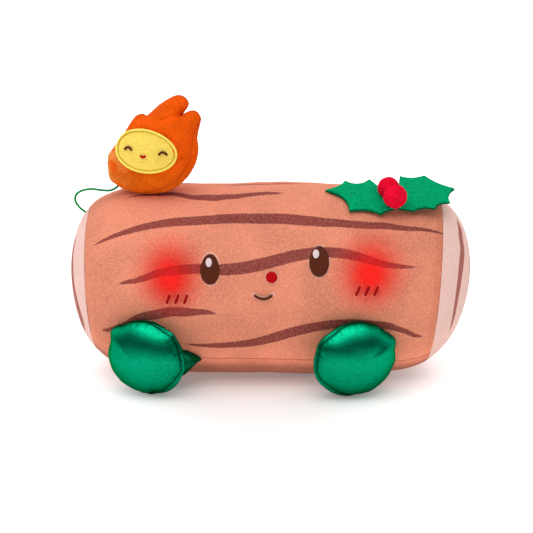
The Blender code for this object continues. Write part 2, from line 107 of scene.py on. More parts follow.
def ring_faces(rows, columns):
    """Quads between neighbouring rings, and a fan onto the closing point at each end."""
    index = np.arange(rows * columns).reshape(rows, columns)
    beside = np.roll(index, -1, axis=1)
    quads = np.stack([index[:-1], beside[:-1], beside[1:], index[1:]], axis=-1).reshape(-1, 4)
    first_fan = [(rows * columns, b, a) for a, b in zip(index[0], beside[0])]
    last_fan = [(rows * columns + 1, a, b) for a, b in zip(index[-1], beside[-1])]
    return [*map(tuple, quads.tolist()), *first_fan, *last_fan]


def new_object(name, data):
    """An object with that mesh, curve, lamp or camera, placed in the scene."""
    made = bpy.data.objects.new(name, data)
    bpy.context.scene.collection.objects.link(made)
    return made


def join_frame(piece, finish, stands_for):
    """Give a piece its material, join it to the root body and hide the frame parts it stands for."""
    piece.data.materials.append(finish)
    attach(piece, "root")
    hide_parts(*stands_for)
    return piece


def ringed_piece(name, rings, ends, finish, stands_for):
    """A closed, smooth skin from an array of rings and its two closing points."""
    rows, columns = rings.shape[:2]
    points = np.concatenate([rings.reshape(-1, 3), np.array(ends, float)])
    faces = ring_faces(rows, columns)
    corners = points[[face[:3] for face in faces]]
    volume = np.einsum("ij,ij->", corners[:, 0], np.cross(corners[:, 1], corners[:, 2]))
    if volume < 0:
        faces = [face[::-1] for face in faces]
    mesh = bpy.data.meshes.new(name)
    mesh.from_pydata(points.tolist(), [], faces)
    mesh.shade_smooth()
    print(name, len(points), "points")
    return join_frame(new_object(name, mesh), finish, stands_for)


def mark(piece, name, values):
    """Keep one number for each point of a ringed piece, for its material to read."""
    values = np.append(values.ravel(), [values[0].mean(), values[-1].mean()])
    piece.data.attributes.new(name, "FLOAT", "POINT").data.foreach_set("value", values)


def soft_waves(across, up, size, seed):
    """Smooth unevenness of about that size, mostly between -1 and 1: a few crossing waves."""
    total = 0
    for turn, phase, stretch in np.random.default_rng(seed).uniform(size=(9, 3)):
        length = size * (0.7 + 0.7 * stretch) / (2 * math.pi)
        along = across * math.cos(2 * math.pi * turn) + up * math.sin(2 * math.pi * turn)
        total = total + np.cos(along / length + 2 * math.pi * phase)
    return total / 3.4


# %% [markdown]
# ## Effects that several materials share
# Velour, felt and embroidery thread each look the same in every colour, so each effect is a node
# group with a colour going in, and a colour and a surface normal coming out. A picture of cloth
# could be wrapped round the pieces instead, but noise in space needs no unwrapping and has no
# joins. The groups work in metres, so the fibres keep their real size on every piece.

# %% Node helpers
def paint(red, green, blue):
    """A colour read off as 0 to 255, as the light values that shaders work in."""
    shares = [value / 255 for value in (red, green, blue)]
    return (*[s / 12.92 if s < 0.04045 else ((s + 0.055) / 1.055) ** 2.4 for s in shares], 1)


def add_node(tree, kind, inputs=None, **settings):
    """A shader node with its settings made and its inputs filled with values or links."""
    made = tree.nodes.new("ShaderNode" + kind)
    for key, value in settings.items():
        setattr(made, key, value)
    for key, value in (inputs or {}).items():
        if isinstance(value, bpy.types.NodeSocket):
            tree.links.new(value, made.inputs[key])
        else:
            made.inputs[key].default_value = value
    return made


def maths(tree, operation, *values):
    inputs = {i: value for i, value in enumerate(values)}
    return add_node(tree, "Math", inputs, operation=operation).outputs[0]


def marked(tree, name):
    """The number that a piece keeps under that name for each of its points."""
    return add_node(tree, "Attribute", attribute_name=name).outputs["Fac"]


def own_place(tree, stretch=(1, 1, 1)):
    """The place in the object's own metres, stretched along its axes."""
    place = add_node(tree, "TexCoord").outputs["Object"]
    return add_node(tree, "VectorMath", {0: place, 1: stretch}, operation="MULTIPLY").outputs[0]


def from_origin(tree, place):
    return add_node(tree, "VectorMath", {0: place}, operation="LENGTH").outputs["Value"]


def noise(tree, scale, detail=2.0, distortion=0.0, stretch=(1, 1, 1)):
    """Noise in the object's own metres, from 0 to 1, finer along an axis that is stretched."""
    place = own_place(tree, stretch)
    inputs = {"Vector": place, "Scale": scale, "Detail": detail, "Distortion": distortion}
    return add_node(tree, "TexNoise", inputs).outputs["Fac"]


def ramp(tree, value, low, high):
    """0 up to the low value, 1 from the high one on, and a smooth step between them."""
    inputs = {"Value": value, "From Min": low, "From Max": high}
    return add_node(tree, "MapRange", inputs, interpolation_type="SMOOTHSTEP").outputs["Result"]


def times(tree, *values):
    """The product of two or more numbers."""
    product = values[0]
    for value in values[1:]:
        product = maths(tree, "MULTIPLY", product, value)
    return product


def plus(tree, *values):
    """The sum of two or more numbers."""
    total = values[0]
    for value in values[1:]:
        total = maths(tree, "ADD", total, value)
    return total


def either_way(tree, value, reach):
    """From 0 to 1, to as far below zero as above it."""
    return times(tree, maths(tree, "SUBTRACT", value, 0.5), reach)


def relief(tree, height, strength, distance):
    """A surface normal from a height."""
    inputs = {"Height": height, "Strength": strength, "Distance": distance}
    return add_node(tree, "Bump", inputs).outputs["Normal"]


def blend_colours(tree, share, first, second):
    inputs = {"Factor": share, 6: first, 7: second}
    return add_node(tree, "Mix", inputs, data_type="RGBA").outputs[2]


def brighten(tree, colour, factor):
    return add_node(tree, "VectorMath", {0: colour, "Scale": factor}, operation="SCALE").outputs[0]


def start_group(name, numbers):
    """A group with a colour and the named numbers going in, and a colour and a normal coming out."""
    group = bpy.data.node_groups.new(name, "ShaderNodeTree")
    group.interface.new_socket("Colour", in_out="INPUT", socket_type="NodeSocketColor")
    for label in numbers:
        group.interface.new_socket(label, in_out="INPUT", socket_type="NodeSocketFloat")
    group.interface.new_socket("Colour", in_out="OUTPUT", socket_type="NodeSocketColor")
    group.interface.new_socket("Normal", in_out="OUTPUT", socket_type="NodeSocketVector")
    return group, group.nodes.new("NodeGroupInput").outputs, group.nodes.new("NodeGroupOutput").inputs


# %% [markdown]
# ### Velour pile
# Velour is a knit with a short, dense pile. Its fibres are about a third of a millimetre apart, and
# where a hand has stroked them they lie another way, which leaves soft lighter and darker clouds.
# The fibre tips catch the light, so a few of them are paler than the dye. Real hair strands would
# show this too, but at this length only their grain and clouds are seen.

# %% Group: velour pile
PALE_TIP = paint(255, 224, 206)


def build_pile():
    numbers = ["Fibre spacing", "Depth", "Cloud size", "Clouds", "Pale tips"]
    group, given, result = start_group("velour_pile", numbers)
    clouds = noise(group, maths(group, "DIVIDE", 1.0, given["Cloud size"]), detail=4.0, distortion=0.5)
    clouds = ramp(group, clouds, 0.3, 0.7)
    per_metre = maths(group, "DIVIDE", 1.0, given["Fibre spacing"])
    fibres = noise(group, per_metre)
    tufts = ramp(group, noise(group, times(group, per_metre, 0.3), detail=3.0), 0.3, 0.7)
    height = plus(group, fibres, tufts)
    cloud_part = either_way(group, clouds, given["Clouds"])
    fibre_part = times(group, maths(group, "SUBTRACT", height, 1.0), given["Depth"])
    dyed = brighten(group, given["Colour"], plus(group, 1.0, cloud_part, fibre_part))
    tips = times(group, ramp(group, height, 0.85, 1.4), given["Pale tips"])
    group.links.new(blend_colours(group, tips, dyed, PALE_TIP), result["Colour"])
    group.links.new(relief(group, height, given["Depth"], 0.4 * MM), result["Normal"])
    return group


velour_pile = build_pile()
print(velour_pile.name, [item.name for item in velour_pile.interface.items_tree])

# %% [markdown]
# ### Felt and wool
# Felt has no weave at all: its wool fibres lie in every direction and leave fine tangled streaks
# and pale fuzz. Distorted noise gives such streaks. The same effect serves the leaves and berries.

# %% Group: felt fibres
def build_felt():
    group, given, result = start_group("felt_fibres", ["Depth", "Fleck"])
    streaks = ramp(group, noise(group, 800.0, detail=4.0, distortion=1.5), 0.25, 0.75)
    streak_part = either_way(group, streaks, given["Fleck"])
    patch_part = either_way(group, noise(group, 160.0), 0.25)
    factor = plus(group, 1.0, streak_part, patch_part)
    group.links.new(brighten(group, given["Colour"], factor), result["Colour"])
    group.links.new(relief(group, streaks, given["Depth"], 0.8 * MM), result["Normal"])
    return group


felt_fibres = build_felt()
print(felt_fibres.name, "is ready")

# %% [markdown]
# ### Satin stitches
# Machine embroidery lays glossy threads side by side. Ridges half a millimetre to a millimetre and
# a half apart, a little wavy, are what the eye reads as satin stitch. Every thread could be a mesh
# of its own, but a number on each stitched piece that counts millimetres across its threads does
# the same, and the rows always follow the piece.

# %% Group: satin rows
def build_satin():
    group, given, result = start_group("satin_rows", ["Row width", "Depth"])
    across = plus(group, marked(group, "across_threads"), times(group, noise(group, 700.0), 0.35))
    turns = maths(group, "DIVIDE", across, given["Row width"])
    ridge = maths(group, "SINE", times(group, turns, 2 * math.pi))
    height = maths(group, "MULTIPLY_ADD", ridge, 0.5, 0.5)
    shade = maths(group, "MULTIPLY_ADD", height, 0.45, 0.75)
    group.links.new(brighten(group, given["Colour"], shade), result["Colour"])
    group.links.new(relief(group, height, given["Depth"], 0.25 * MM), result["Normal"])
    return group


satin_rows = build_satin()
print(satin_rows.name, "is ready")


# %% Starting a material
def new_finish(name, roughness, sheen=0.0, sheen_tint=(1, 1, 1, 1), metallic=0.0, gloss=0.15):
    """A material with its Principled shader and the numbers that are the same all over."""
    material = bpy.data.materials.new(name)
    material.use_nodes = True
    shader = material.node_tree.nodes["Principled BSDF"]
    shader.inputs["Roughness"].default_value = roughness
    shader.inputs["Metallic"].default_value = metallic
    shader.inputs["Specular IOR Level"].default_value = gloss
    shader.inputs["Sheen Weight"].default_value = sheen
    shader.inputs["Sheen Roughness"].default_value = 0.4
    shader.inputs["Sheen Tint"].default_value = sheen_tint
    return material, material.node_tree, shader


def place_group(tree, shader, group, colour, **numbers):
    """Put a shared effect into a material and join its colour and normal to the shader."""
    used = add_node(tree, "Group", node_tree=group)
    named = {key.replace("_", " ").capitalize(): value for key, value in numbers.items()}
    for key, value in {"Colour": colour, **named}.items():
        if isinstance(value, bpy.types.NodeSocket):
            tree.links.new(value, used.inputs[key])
        else:
            used.inputs[key].default_value = value
    tree.links.new(used.outputs["Colour"], shader.inputs["Base Color"])
    tree.links.new(used.outputs["Normal"], shader.inputs["Normal"])


# %% [markdown]
# ## The log's velour
# The bark is printed onto the velour as dark brush strokes, and two small lamps under the cheeks
# make the cloth glow red. A print could be one painted picture, but distances work better here:
# every point of the log knows how far it is from the edge of a stroke, and the material turns
# that into a sharp line with a slightly furry edge, at any zoom. Light and shade are painted from
# distances too: painted light above the front seam, painted shade below it where the log turns
# under and in the seam's groove, and a painted highlight on the pressed pile round the embroidery.
# The cloth is also darker in a band by the right seam.

# %% Material: printed bark
BARK = paint(226, 138, 109)
STRIPE = paint(140, 62, 54)
RIGHT_SEAM_BAND = paint(214, 122, 90)
PRESSED_PILE_HIGHLIGHT = paint(255, 222, 208)
LAMP_RED = paint(218, 26, 20)
LAMP_STRIPE = paint(186, 22, 22)
SEAM_SHADE = paint(150, 74, 56)


def build_bark():
    material, tree, shader = new_finish("printed_bark", 0.85, sheen=0.1, sheen_tint=paint(255, 190, 160))
    from_lamp, above_seam = marked(tree, "lamp_gap"), marked(tree, "seam_gap")
    fur = either_way(tree, noise(tree, 1100.0), 1.6)
    stripe = ramp(tree, plus(tree, marked(tree, "stripe_gap"), fur), 0.35, -0.35)
    # Darker band within a few millimetres of the right seam.
    right_band = times(tree, ramp(tree, marked(tree, "right_band_gap"), 5.5, 4.0), 0.5)
    # Painted shade in the groove of the front seam.
    seam = times(tree, ramp(tree, maths(tree, "ABSOLUTE", above_seam), 1.1, 0.3), 0.6)
    # Painted highlight on the pressed pile round the embroidery.
    parted = plus(tree, marked(tree, "stitch_gap"), times(tree, fur, 0.8))
    pressed_pile_highlight = times(tree, ramp(tree, parted, 1.2, 0.3), 0.36)
    cloth = BARK
    for share, colour in ((right_band, RIGHT_SEAM_BAND), (seam, SEAM_SHADE), (pressed_pile_highlight, PRESSED_PILE_HIGHLIGHT), (stripe, STRIPE)):
        cloth = blend_colours(tree, share, cloth, colour)
    lit = blend_colours(tree, stripe, LAMP_RED, LAMP_STRIPE)
    colour = blend_colours(tree, ramp(tree, from_lamp, 36.0, 4.0), cloth, lit)
    # Painted light above the front seam and painted shade below it, where the log turns under.
    painted_light_above_seam = times(tree, ramp(tree, above_seam, 22.0, 3.0), 0.16)
    painted_shade_below_seam = times(tree, ramp(tree, above_seam, 1.0, -15.0), 0.56)
    near_seam = ramp(tree, above_seam, -70.0, -30.0)
    shade = times(tree, maths(tree, "SUBTRACT", painted_light_above_seam, painted_shade_below_seam), near_seam)
    colour = brighten(tree, colour, plus(tree, 1.0, shade))
    tips = maths(tree, "MULTIPLY_ADD", ramp(tree, from_lamp, 32.0, 8.0), -0.05, 0.06)
    pile = {"fibre_spacing": 0.32 * MM, "depth": 0.22, "cloud_size": 45 * MM, "clouds": 0.2}
    place_group(tree, shader, velour_pile, colour, pale_tips=tips, **pile)
    lamp = brighten(tree, lit, ramp(tree, from_lamp, 17.0, 1.0))
    tree.links.new(lamp, shader.inputs["Emission Color"])
    shader.inputs["Emission Strength"].default_value = 0.34
    return material


printed_bark = build_bark()
print(printed_bark.name, len(printed_bark.node_tree.nodes), "nodes")

# %% [markdown]
# ## Where the brush strokes lie
# Each stroke is a line with a width that swells and thins out to nothing, given by its place along
# the log in millimetres, its angle round the log (0 is the front and 90 the top) and its width.
# The front strokes follow the toy; those round the back carry on in the same manner.

# %% Strokes and their distances
STROKES = [
    [(-106, 65, 0), (-96, 69.6, 1.6), (-85, 70, 2.9), (-75, 70, 4.5), (-66, 71, 5), (-51, 67, 6),
     (-42, 67, 8), (-35, 66, 7.7), (-28, 67, 7), (-21, 67, 6.8), (-14, 68, 5.7), (-6, 69, 5.2),
     (1, 70, 4.4), (8, 70, 3.2), (15, 70.4, 0)],
    [(-44, 87, 0), (-20, 85.5, 2.4), (10, 85.5, 3), (37, 87, 0)],
    [(-122, 33, 0), (-119, 34, 1.8), (-104, 38, 3.6), (-90, 41, 5.2), (-76, 44, 6.4),
     (-62, 46, 7.6), (-48, 47, 7.9), (-27, 48, 8.4), (1, 48, 8.9), (16, 48, 9), (30, 47, 8.8),
     (43, 46, 8), (57, 45, 6.6), (70, 44, 6.2), (84, 44, 5.5), (97, 43, 4.4), (110, 44, 3.1),
     (123, 44, 1.8)],
    [(-106, 6.5, 0), (-97, 9, 2.6), (-89, 10, 3.9), (-82, 12, 4.8), (-75, 14, 5.3),
     (-61, 16, 6.7), (-47, 17, 7.1), (-33, 16.5, 7.6), (-19, 17, 8.4), (-5, 19, 8.8),
     (9, 22, 8.7), (23, 25, 8.4), (40, 27, 7.8), (57, 26, 7.1), (71, 23, 5.8), (84, 20, 4.5),
     (97, 19, 2.7), (108, 19, 0)],
    [(-118, -25, 0), (-114, -24, 3.2), (-100, -18, 4.6), (-88, -12, 5.8), (-77, -10, 7.3),
     (-65, -8, 7.2), (-54, -8, 6.4), (-47, -8, 4.9), (-40, -8, 3.7), (-30, -9.5, 0)],
    [(-60, -30, 0), (-48, -31, 2.9), (-34, -31, 4.8), (-20, -30, 6.3), (-5, -28, 7.2),
     (9, -24, 8), (23, -20, 8), (37, -17, 7.5), (51, -15, 7), (65, -14.5, 6.6), (85, -16, 6),
     (93, -18, 4.7), (101, -21, 3.8), (108, -25, 3.2), (114, -27, 0)],
    [(-110, 99, 0), (-60, 102, 4), (0, 100, 6.5), (50, 97, 4), (85, 98, 0)],
    [(-20, 118, 0), (30, 121, 5), (75, 119, 7.5), (123, 122, 5)],
    [(-130, 128, 3), (-80, 132, 7), (-30, 136, 8), (20, 134, 5), (60, 131, 0)],
    [(-100, 158, 0), (-55, 155, 6), (0, 157, 8.5), (55, 160, 7.5), (100, 157, 3), (116, 156, 0)],
    [(-130, 182, 2), (-90, 180, 6.5), (-50, 176, 5), (-15, 177, 0)],
    [(0, 186, 0), (40, 183, 6), (85, 180, 8), (123, 183, 6)],
    [(-70, 206, 0), (-30, 203, 6), (20, 206, 8), (70, 209, 6), (105, 206, 0)],
    [(-118, 226, 0), (-80, 229, 5.5), (-35, 228, 7.5), (5, 231, 0)],
    [(30, 234, 0), (70, 231, 5.5), (110, 233, 3), (123, 233, 2)],
    [(-95, 258, 0), (-40, 262, 6), (20, 260, 8), (80, 264, 0)],
    [(-20, 290, 0), (35, 287, 6), (85, 290, 4), (123, 288, 2)],
]


def stroke_gap(across, up, route):
    """How far places are from a stroke's edge, below zero inside it; all in millimetres."""
    gap = np.full(across.shape, 1e3)
    for (x0, y0, w0), (x1, y1, w1) in zip(route, route[1:]):
        dx, dy = x1 - x0, y1 - y0
        share = np.clip(((across - x0) * dx + (up - y0) * dy) / (dx * dx + dy * dy), 0, 1)
        reach = np.hypot(across - x0 - share * dx, up - y0 - share * dy)
        gap = np.minimum(gap, reach - (w0 + share * (w1 - w0)) / 2)
    return gap


print(len(STROKES), "brush strokes")

# %% [markdown]
# ## The shape of the log
# The log is a bolster: a tube of velour between two round panels, with a flat underside and ends
# that lean out a little. Blowing up a sewn tube by simulation would find such a form too, but its
# outline is already settled in the frame, so the same formula is used with far more points, and
# the softness comes from relief: seams that sink in, puckers beside them and slow unevenness.

# %% Formula of the log
AXIS_HEIGHT = 69 * MM
LOG_RADIUS = 70.9 * MM
LOG_HALF = 146.4 * MM
SEAM_LEFT, SEAM_RIGHT = -128.5 * MM, 121.6 * MM
SEAM_GAP = 0.03 * MM


def log_radius(x):
    return LOG_RADIUS * np.maximum(0, 1 - np.abs(x / LOG_HALF) ** 6.9) ** (1 / 2.1)


def lean_out(x, y, z):
    """From the straight log, z from its axis, to the leaning log with its flat underside."""
    weight = (x / LOG_HALF) ** 2
    stretch = np.where(x < 0, -0.0113, 0.0324)
    lean = np.where(x < 0, -0.058, 0.103)
    height = np.maximum(z, -AXIS_HEIGHT) + AXIS_HEIGHT
    return np.stack([x * (1 + stretch * weight) + lean * z * weight, y, height], axis=-1)


def on_log(x, degrees, lift):
    """Points above the log's skin: 0 degrees is the front and 90 the top."""
    x, angle, lift = np.broadcast_arrays(x, np.radians(degrees), lift)
    radius = log_radius(x) + lift
    return lean_out(x, -radius * np.cos(angle), radius * np.sin(angle))


def push_clear(points, clearance):
    """Move points that lie inside the log out to its skin, as soft pieces press together."""
    y, z = points[..., 1], points[..., 2] - AXIS_HEIGHT
    reach = np.hypot(y, z)
    grow = np.maximum(1, (log_radius(points[..., 0] * 0.97) + clearance) / np.maximum(reach, 1e-6))
    return np.stack([points[..., 0], y * grow, z * grow + AXIS_HEIGHT], axis=-1)


print("log of", round(2 * LOG_HALF * 1000), "mm")

# %% [markdown]
# ## Where the face is embroidered
# Embroidery pulls the pile down around itself, and the pressed pile round it gets a painted
# highlight, so the log has to know where it sits before the velour is made. The face is a plain
# soft-toy face: oval eyes, a dot nose, a short smile and three slanted dashes on each cheek.

# %% Places of the embroidery
EYES = {"left": (-37.1, 16.8, 6.7, 10.8), "right": (38.9, 21.7, 6.8, 11.0)}
GLINTS = {"left": (-37.9, 20.4), "right": (36.6, 25.7)}
GLINT_HALF = (2.2, 3.2)
NOSE = (6.0, 12.4)
NOSE_HALF = 4.1
CHEEKS = {"left": (-65.1, 11.7), "right": (74.2, 14.6)}
BLUSH = {"left": (-60.4, -0.3), "right": (71.9, 5.0)}
MM_PER_DEGREE = math.radians(LOG_RADIUS / MM)


def smile_line(count):
    share = np.linspace(-1, 1, count)
    return np.stack([0.3 + 6.6 * share, 0.2 + 2.9 * share ** 2 / MM_PER_DEGREE], axis=1)


def dash_line(side, number, count):
    share = np.linspace(-1, 1, count)
    x, degrees = BLUSH[side]
    return np.stack([x + 6.2 * (number - 2) + 1.4 * share, degrees + 3.4 * share / MM_PER_DEGREE], axis=1)


THREAD_LINES = [smile_line(9), *[dash_line(side, number, 3) for side in BLUSH for number in (1, 2, 3)]]
print(len(THREAD_LINES), "stitched lines")

# %% [markdown]
# ## The velour tube
# The tube gets a point about every millimetre and a half, closer together by its two seams. Each
# point stores its distances for the material: to the nearest brush stroke, to the embroidery, to
# the cheek lamps that shine through, to the right seam and to the seam along the front.

# %% Build the tube
TUBE_ROWS, TUBE_COLUMNS = 180, 300
FRONT_SEAM = -44.0
STITCH_WIDTH = 1.7
SWELL, DIMPLES = (0.45, 75, 3), (0.12, 22, 4)
END_PUCKERS, SEAM_PUCKERS = (0.45, 11, 5), (0.30, 9, 6)
CROWN_HEIGHT, CROWN_HALF = 1.3 * MM, 62 * MM


def waves(across, up, height, size, seed):
    """Unevenness in metres, with its height and its size given in millimetres."""
    return height * MM * soft_waves(across, up, size * MM, seed)


def fold(distance, width):
    """1 at a seam, dying away over that many metres."""
    return np.exp(-np.maximum(distance, 0) / width)


def measure_tube(x, degrees):
    """Distances for the material and the relief of the cloth at each point of the tube."""
    across, up = x / MM, degrees * MM_PER_DEGREE
    stripes = np.full(x.shape, 1e3)
    for stroke in STROKES:
        route = [(a, b * MM_PER_DEGREE, w) for a, b, w in even_points(stroke, 40)]
        middle = np.mean([b for _, b, _ in stroke])
        wrapped = middle + (degrees - middle + 180) % 360 - 180
        stripes = np.minimum(stripes, stroke_gap(across, wrapped * MM_PER_DEGREE, route))
    stitches = np.hypot(across - NOSE[0], up - NOSE[1] * MM_PER_DEGREE) - NOSE_HALF
    for eye_x, eye_angle, half_width, half_height in EYES.values():
        share = np.hypot((across - eye_x) / half_width, (up - eye_angle * MM_PER_DEGREE) / half_height)
        stitches = np.minimum(stitches, (share - 1) * half_width)
    for line in THREAD_LINES:
        route = [(a, b * MM_PER_DEGREE, STITCH_WIDTH) for a, b in line]
        stitches = np.minimum(stitches, stroke_gap(across, up, route))
    lamps = []
    for lamp_x, lamp_angle in CHEEKS.values():
        above = up - lamp_angle * MM_PER_DEGREE
        lamps.append(np.hypot(1.1 * (across - lamp_x), np.where(above > 0, 0.85, 1) * above))
    return stripes, stitches, np.minimum(*lamps)


def front_seam_gap(x, degrees):
    """Metres above the seam that runs along the front and sinks to the right."""
    seam_angle = FRONT_SEAM - 7 * np.clip((x / MM - 70) / 50, 0, 1)
    return np.radians(degrees - seam_angle) * LOG_RADIUS


def relief_of_tube(x, degrees, stitches):
    """Metres by which the cloth stands above the plain log, or below it at seams and stitches."""
    arc = np.radians(degrees) * LOG_RADIUS
    to_end = np.minimum(x - SEAM_LEFT, SEAM_RIGHT - x)
    to_seam = np.abs(front_seam_gap(x, degrees))
    crown = np.clip(1 - (x / CROWN_HALF) ** 2, 0, 1) ** 2 * np.exp(-((degrees - 85) / 40) ** 2)
    lift = waves(x, arc, *SWELL) + waves(x, arc, *DIMPLES) + CROWN_HEIGHT * crown
    lift += fold(to_end, 9 * MM) * waves(arc, 0, *END_PUCKERS)
    lift += fold(to_seam, 5 * MM) * waves(x, 0, *SEAM_PUCKERS)
    lift -= 0.4 * MM * fold(to_end, 1.2 * MM) + 1.0 * MM * fold(to_seam, 1.2 * MM)
    return lift - 0.5 * MM * fold(stitches * MM, 1.8 * MM)


def build_tube():
    share = np.linspace(-1, 1, TUBE_ROWS)
    middle, half = (SEAM_LEFT + SEAM_RIGHT) / 2, (SEAM_RIGHT - SEAM_LEFT) / 2 - SEAM_GAP
    x = middle + half * (0.4 * share + 0.6 * np.sin(math.pi / 2 * share))
    degrees = np.linspace(-180, 180, TUBE_COLUMNS, endpoint=False)
    x, degrees = np.meshgrid(x, degrees, indexing="ij")
    stripes, stitches, lamps = measure_tube(x, degrees)
    rings = on_log(x, degrees, relief_of_tube(x, degrees, stitches))
    ends = [rings[0].mean(axis=0), rings[-1].mean(axis=0)]
    tube = ringed_piece("velour_tube", rings, ends, printed_bark, ["log_barrel"])
    gaps = {"stripe": stripes, "stitch": stitches, "lamp": lamps,
            "right_band": (SEAM_RIGHT - x) / MM, "seam": front_seam_gap(x, degrees) / MM}
    for place, gap in gaps.items():
        mark(tube, place + "_gap", gap)
    return tube


build_tube()

# %% [markdown]
# ## The two end panels
# Each end is a round panel of paler velour, pulled into a dome by the stuffing and printed with
# growth rings. A disc could be blown up by simulation, but the frame already has the dome, so each
# panel is a lid of rings that shrink to one point. Its seam sinks in beside the tube's own, and
# its puckers run outwards like the pleats of a cushion.

# %% Material and shape of the ends
WOOD = paint(238, 197, 186)
WOOD_RING = paint(168, 94, 84)
FRONT_RINGS = {
    "left": [
        (-22, 36, 0), (-25.2, 30.5, 4.5), (-28, 22, 6.6), (-31.5, 14, 8.5), (-34, 5.7, 9.2),
        (-36.5, -2.6, 10), (-39, -11, 10), (-39.5, -20, 9.5), (-36, -28.5, 6), (-32, -35, 0),
    ],
    "right": [
        (-17, 49, 0), (-21.5, 44, 4), (-30.5, 36.7, 5.2), (-35.5, 28.8, 5.8), (-41, 21.3, 6),
        (-44.7, 13.3, 5.4), (-47, 5.2, 5.0), (-47.8, -3.5, 4), (-46.6, -12.8, 3.4),
        (-43.4, -22.7, 2.4), (-39.5, -31, 0),
    ],
}
OTHER_RINGS = {
    "left": [(43, 130, 268, 4.4), (20, 60, 330, 4.2), (8, 20, 300, 3.0)],
    "right": [(41, 124, 258, 4.6), (24, -60, 200, 4.4), (10, 60, 340, 3.4)],
}


def build_wood():
    material, tree, shader = new_finish("printed_wood", 0.85, sheen=0.1, sheen_tint=paint(255, 225, 215))
    fur = either_way(tree, noise(tree, 1100.0), 1.4)
    ring = ramp(tree, plus(tree, marked(tree, "ring_gap"), fur), 0.5, -0.5)
    colour = blend_colours(tree, ring, WOOD, WOOD_RING)
    pile = {"fibre_spacing": 0.3 * MM, "depth": 0.14, "cloud_size": 45 * MM, "clouds": 0.06}
    place_group(tree, shader, velour_pile, colour, pale_tips=0.03, **pile)
    return material


def ring_stroke(radius, start, end, width):
    """One growth ring as a stroke in the panel's own plane, thin at both ends."""
    share = np.linspace(0, 1, 40)
    turn = np.radians(start + (end - start) * share)
    wander = radius * (1 + 0.03 * np.sin(3 * turn + radius))
    thick = width * np.sin(math.pi * share) ** 0.6
    return np.stack([-wander * np.cos(turn), wander * np.sin(turn), thick], axis=1)


def build_end(side, seam, tip):
    share = np.linspace(0, 1, 66)[:-1, None]
    x = seam + (tip - seam) * np.sin(math.pi / 2 * share ** 1.15)
    degrees = np.linspace(-180, 180, TUBE_COLUMNS, endpoint=False)
    x, degrees = np.broadcast_arrays(x, degrees)
    angle, radius = np.radians(degrees), log_radius(x)
    to_seam = np.abs(x - seam) + (LOG_RADIUS - radius) * 0.6
    lift = fold(to_seam, 7 * MM) * waves(angle * LOG_RADIUS, 0, 0.3, 9, 8)
    lift += waves(radius * np.cos(angle), radius * np.sin(angle), 0.35, 50, 9)
    lift -= 0.4 * MM * fold(to_seam, 1.2 * MM)
    rings = on_log(x, degrees, lift * np.minimum(1, radius / (20 * MM)))
    ends = [rings[0].mean(axis=0), lean_out(np.array(tip), np.array(0.0), np.array(0.0))]
    plane = (-radius * np.cos(angle) / MM, radius * np.sin(angle) / MM)
    gap = stroke_gap(*plane, even_points(FRONT_RINGS[side], 40))
    for stroke in OTHER_RINGS[side]:
        gap = np.minimum(gap, stroke_gap(*plane, ring_stroke(*stroke)))
    panel = ringed_piece("velour_end_" + side, rings, ends, printed_wood, ["end_" + side])
    mark(panel, "ring_gap", gap)
    return panel


printed_wood = build_wood()
build_end("left", SEAM_LEFT - SEAM_GAP, -LOG_HALF)
build_end("right", SEAM_RIGHT + SEAM_GAP, LOG_HALF)

# %% [markdown]
# ## Letting the stuffing press
# Stuffing presses a sewn skin outwards everywhere except at its seams, and that is what makes the
# small wrinkles beside them. A short cloth simulation does the same: the seam is pinned, the skin
# gets a little more fabric than it needs, and air pushes from inside. It runs on a copy at thirty
# times the size, where cloth is steadier, and no point may leave its place by more than the cap.
# Drawing the wrinkles by hand would also do, but they would hardly fall as naturally.

# %% Simulation helper
ROOM = 30


def press_stuffing(piece, held, spare, cap, frames=12):
    """Wrinkle a closed skin under pressure; held is 1 for each point that stays in its seam."""
    start = np.array([vertex.co for vertex in piece.data.vertices])
    copy = new_object("stuffing_copy", piece.data.copy())
    copy.data.vertices.foreach_set("co", (start * ROOM).ravel())
    pinned = copy.vertex_groups.new(name="held")
    for index in np.flatnonzero(held > 0.02):
        pinned.add([int(index)], float(held[index]), "REPLACE")
    cloth = copy.modifiers.new("stuffing", "CLOTH")
    cloth.settings.quality = 5
    cloth.settings.mass = 0.3
    cloth.settings.vertex_group_mass = "held"
    cloth.settings.shrink_min = -spare
    cloth.settings.bending_stiffness = 0.4
    cloth.settings.use_pressure = True
    cloth.settings.uniform_pressure_force = 4
    cloth.settings.effector_weights.gravity = 0
    cloth.collision_settings.use_collision = False
    cloth.point_cache.frame_end = frames
    for frame in range(1, frames + 1):
        bpy.context.scene.frame_set(frame)
    solved = copy.evaluated_get(bpy.context.evaluated_depsgraph_get())
    moved = np.array([vertex.co for vertex in solved.data.vertices]) / ROOM - start
    reach = np.linalg.norm(moved, axis=1)[:, None]
    moved *= np.minimum(1, cap / np.maximum(reach, 1e-9))
    piece.data.vertices.foreach_set("co", (start + moved).ravel())
    piece.data.update()
    print(piece.name, "moved by up to", round(float(reach.max()) / MM, 2), "mm before the cap")
    bpy.data.objects.remove(copy)
    bpy.context.scene.frame_set(1)


# %% [markdown]
# ## The shiny feet
# The feet are round pads of metallic jersey: a knit with a foil skin that mirrors the room softly
# and creases wherever it is sewn. Two panels meet in a seam round the edge, and a leaf-shaped cuff
# of the same cloth joins each pad to the log. Two flat panels could be sewn and blown up by
# simulation, but the photographed outline is hard to reach that way. So the pads start from the
# frame's form, with creases that run in from the seam, and the simulation only wrinkles them.

# %% Material: metallic jersey
STITCH_LENGTH = 2.4
SEAM_GREEN = paint(0, 52, 34)


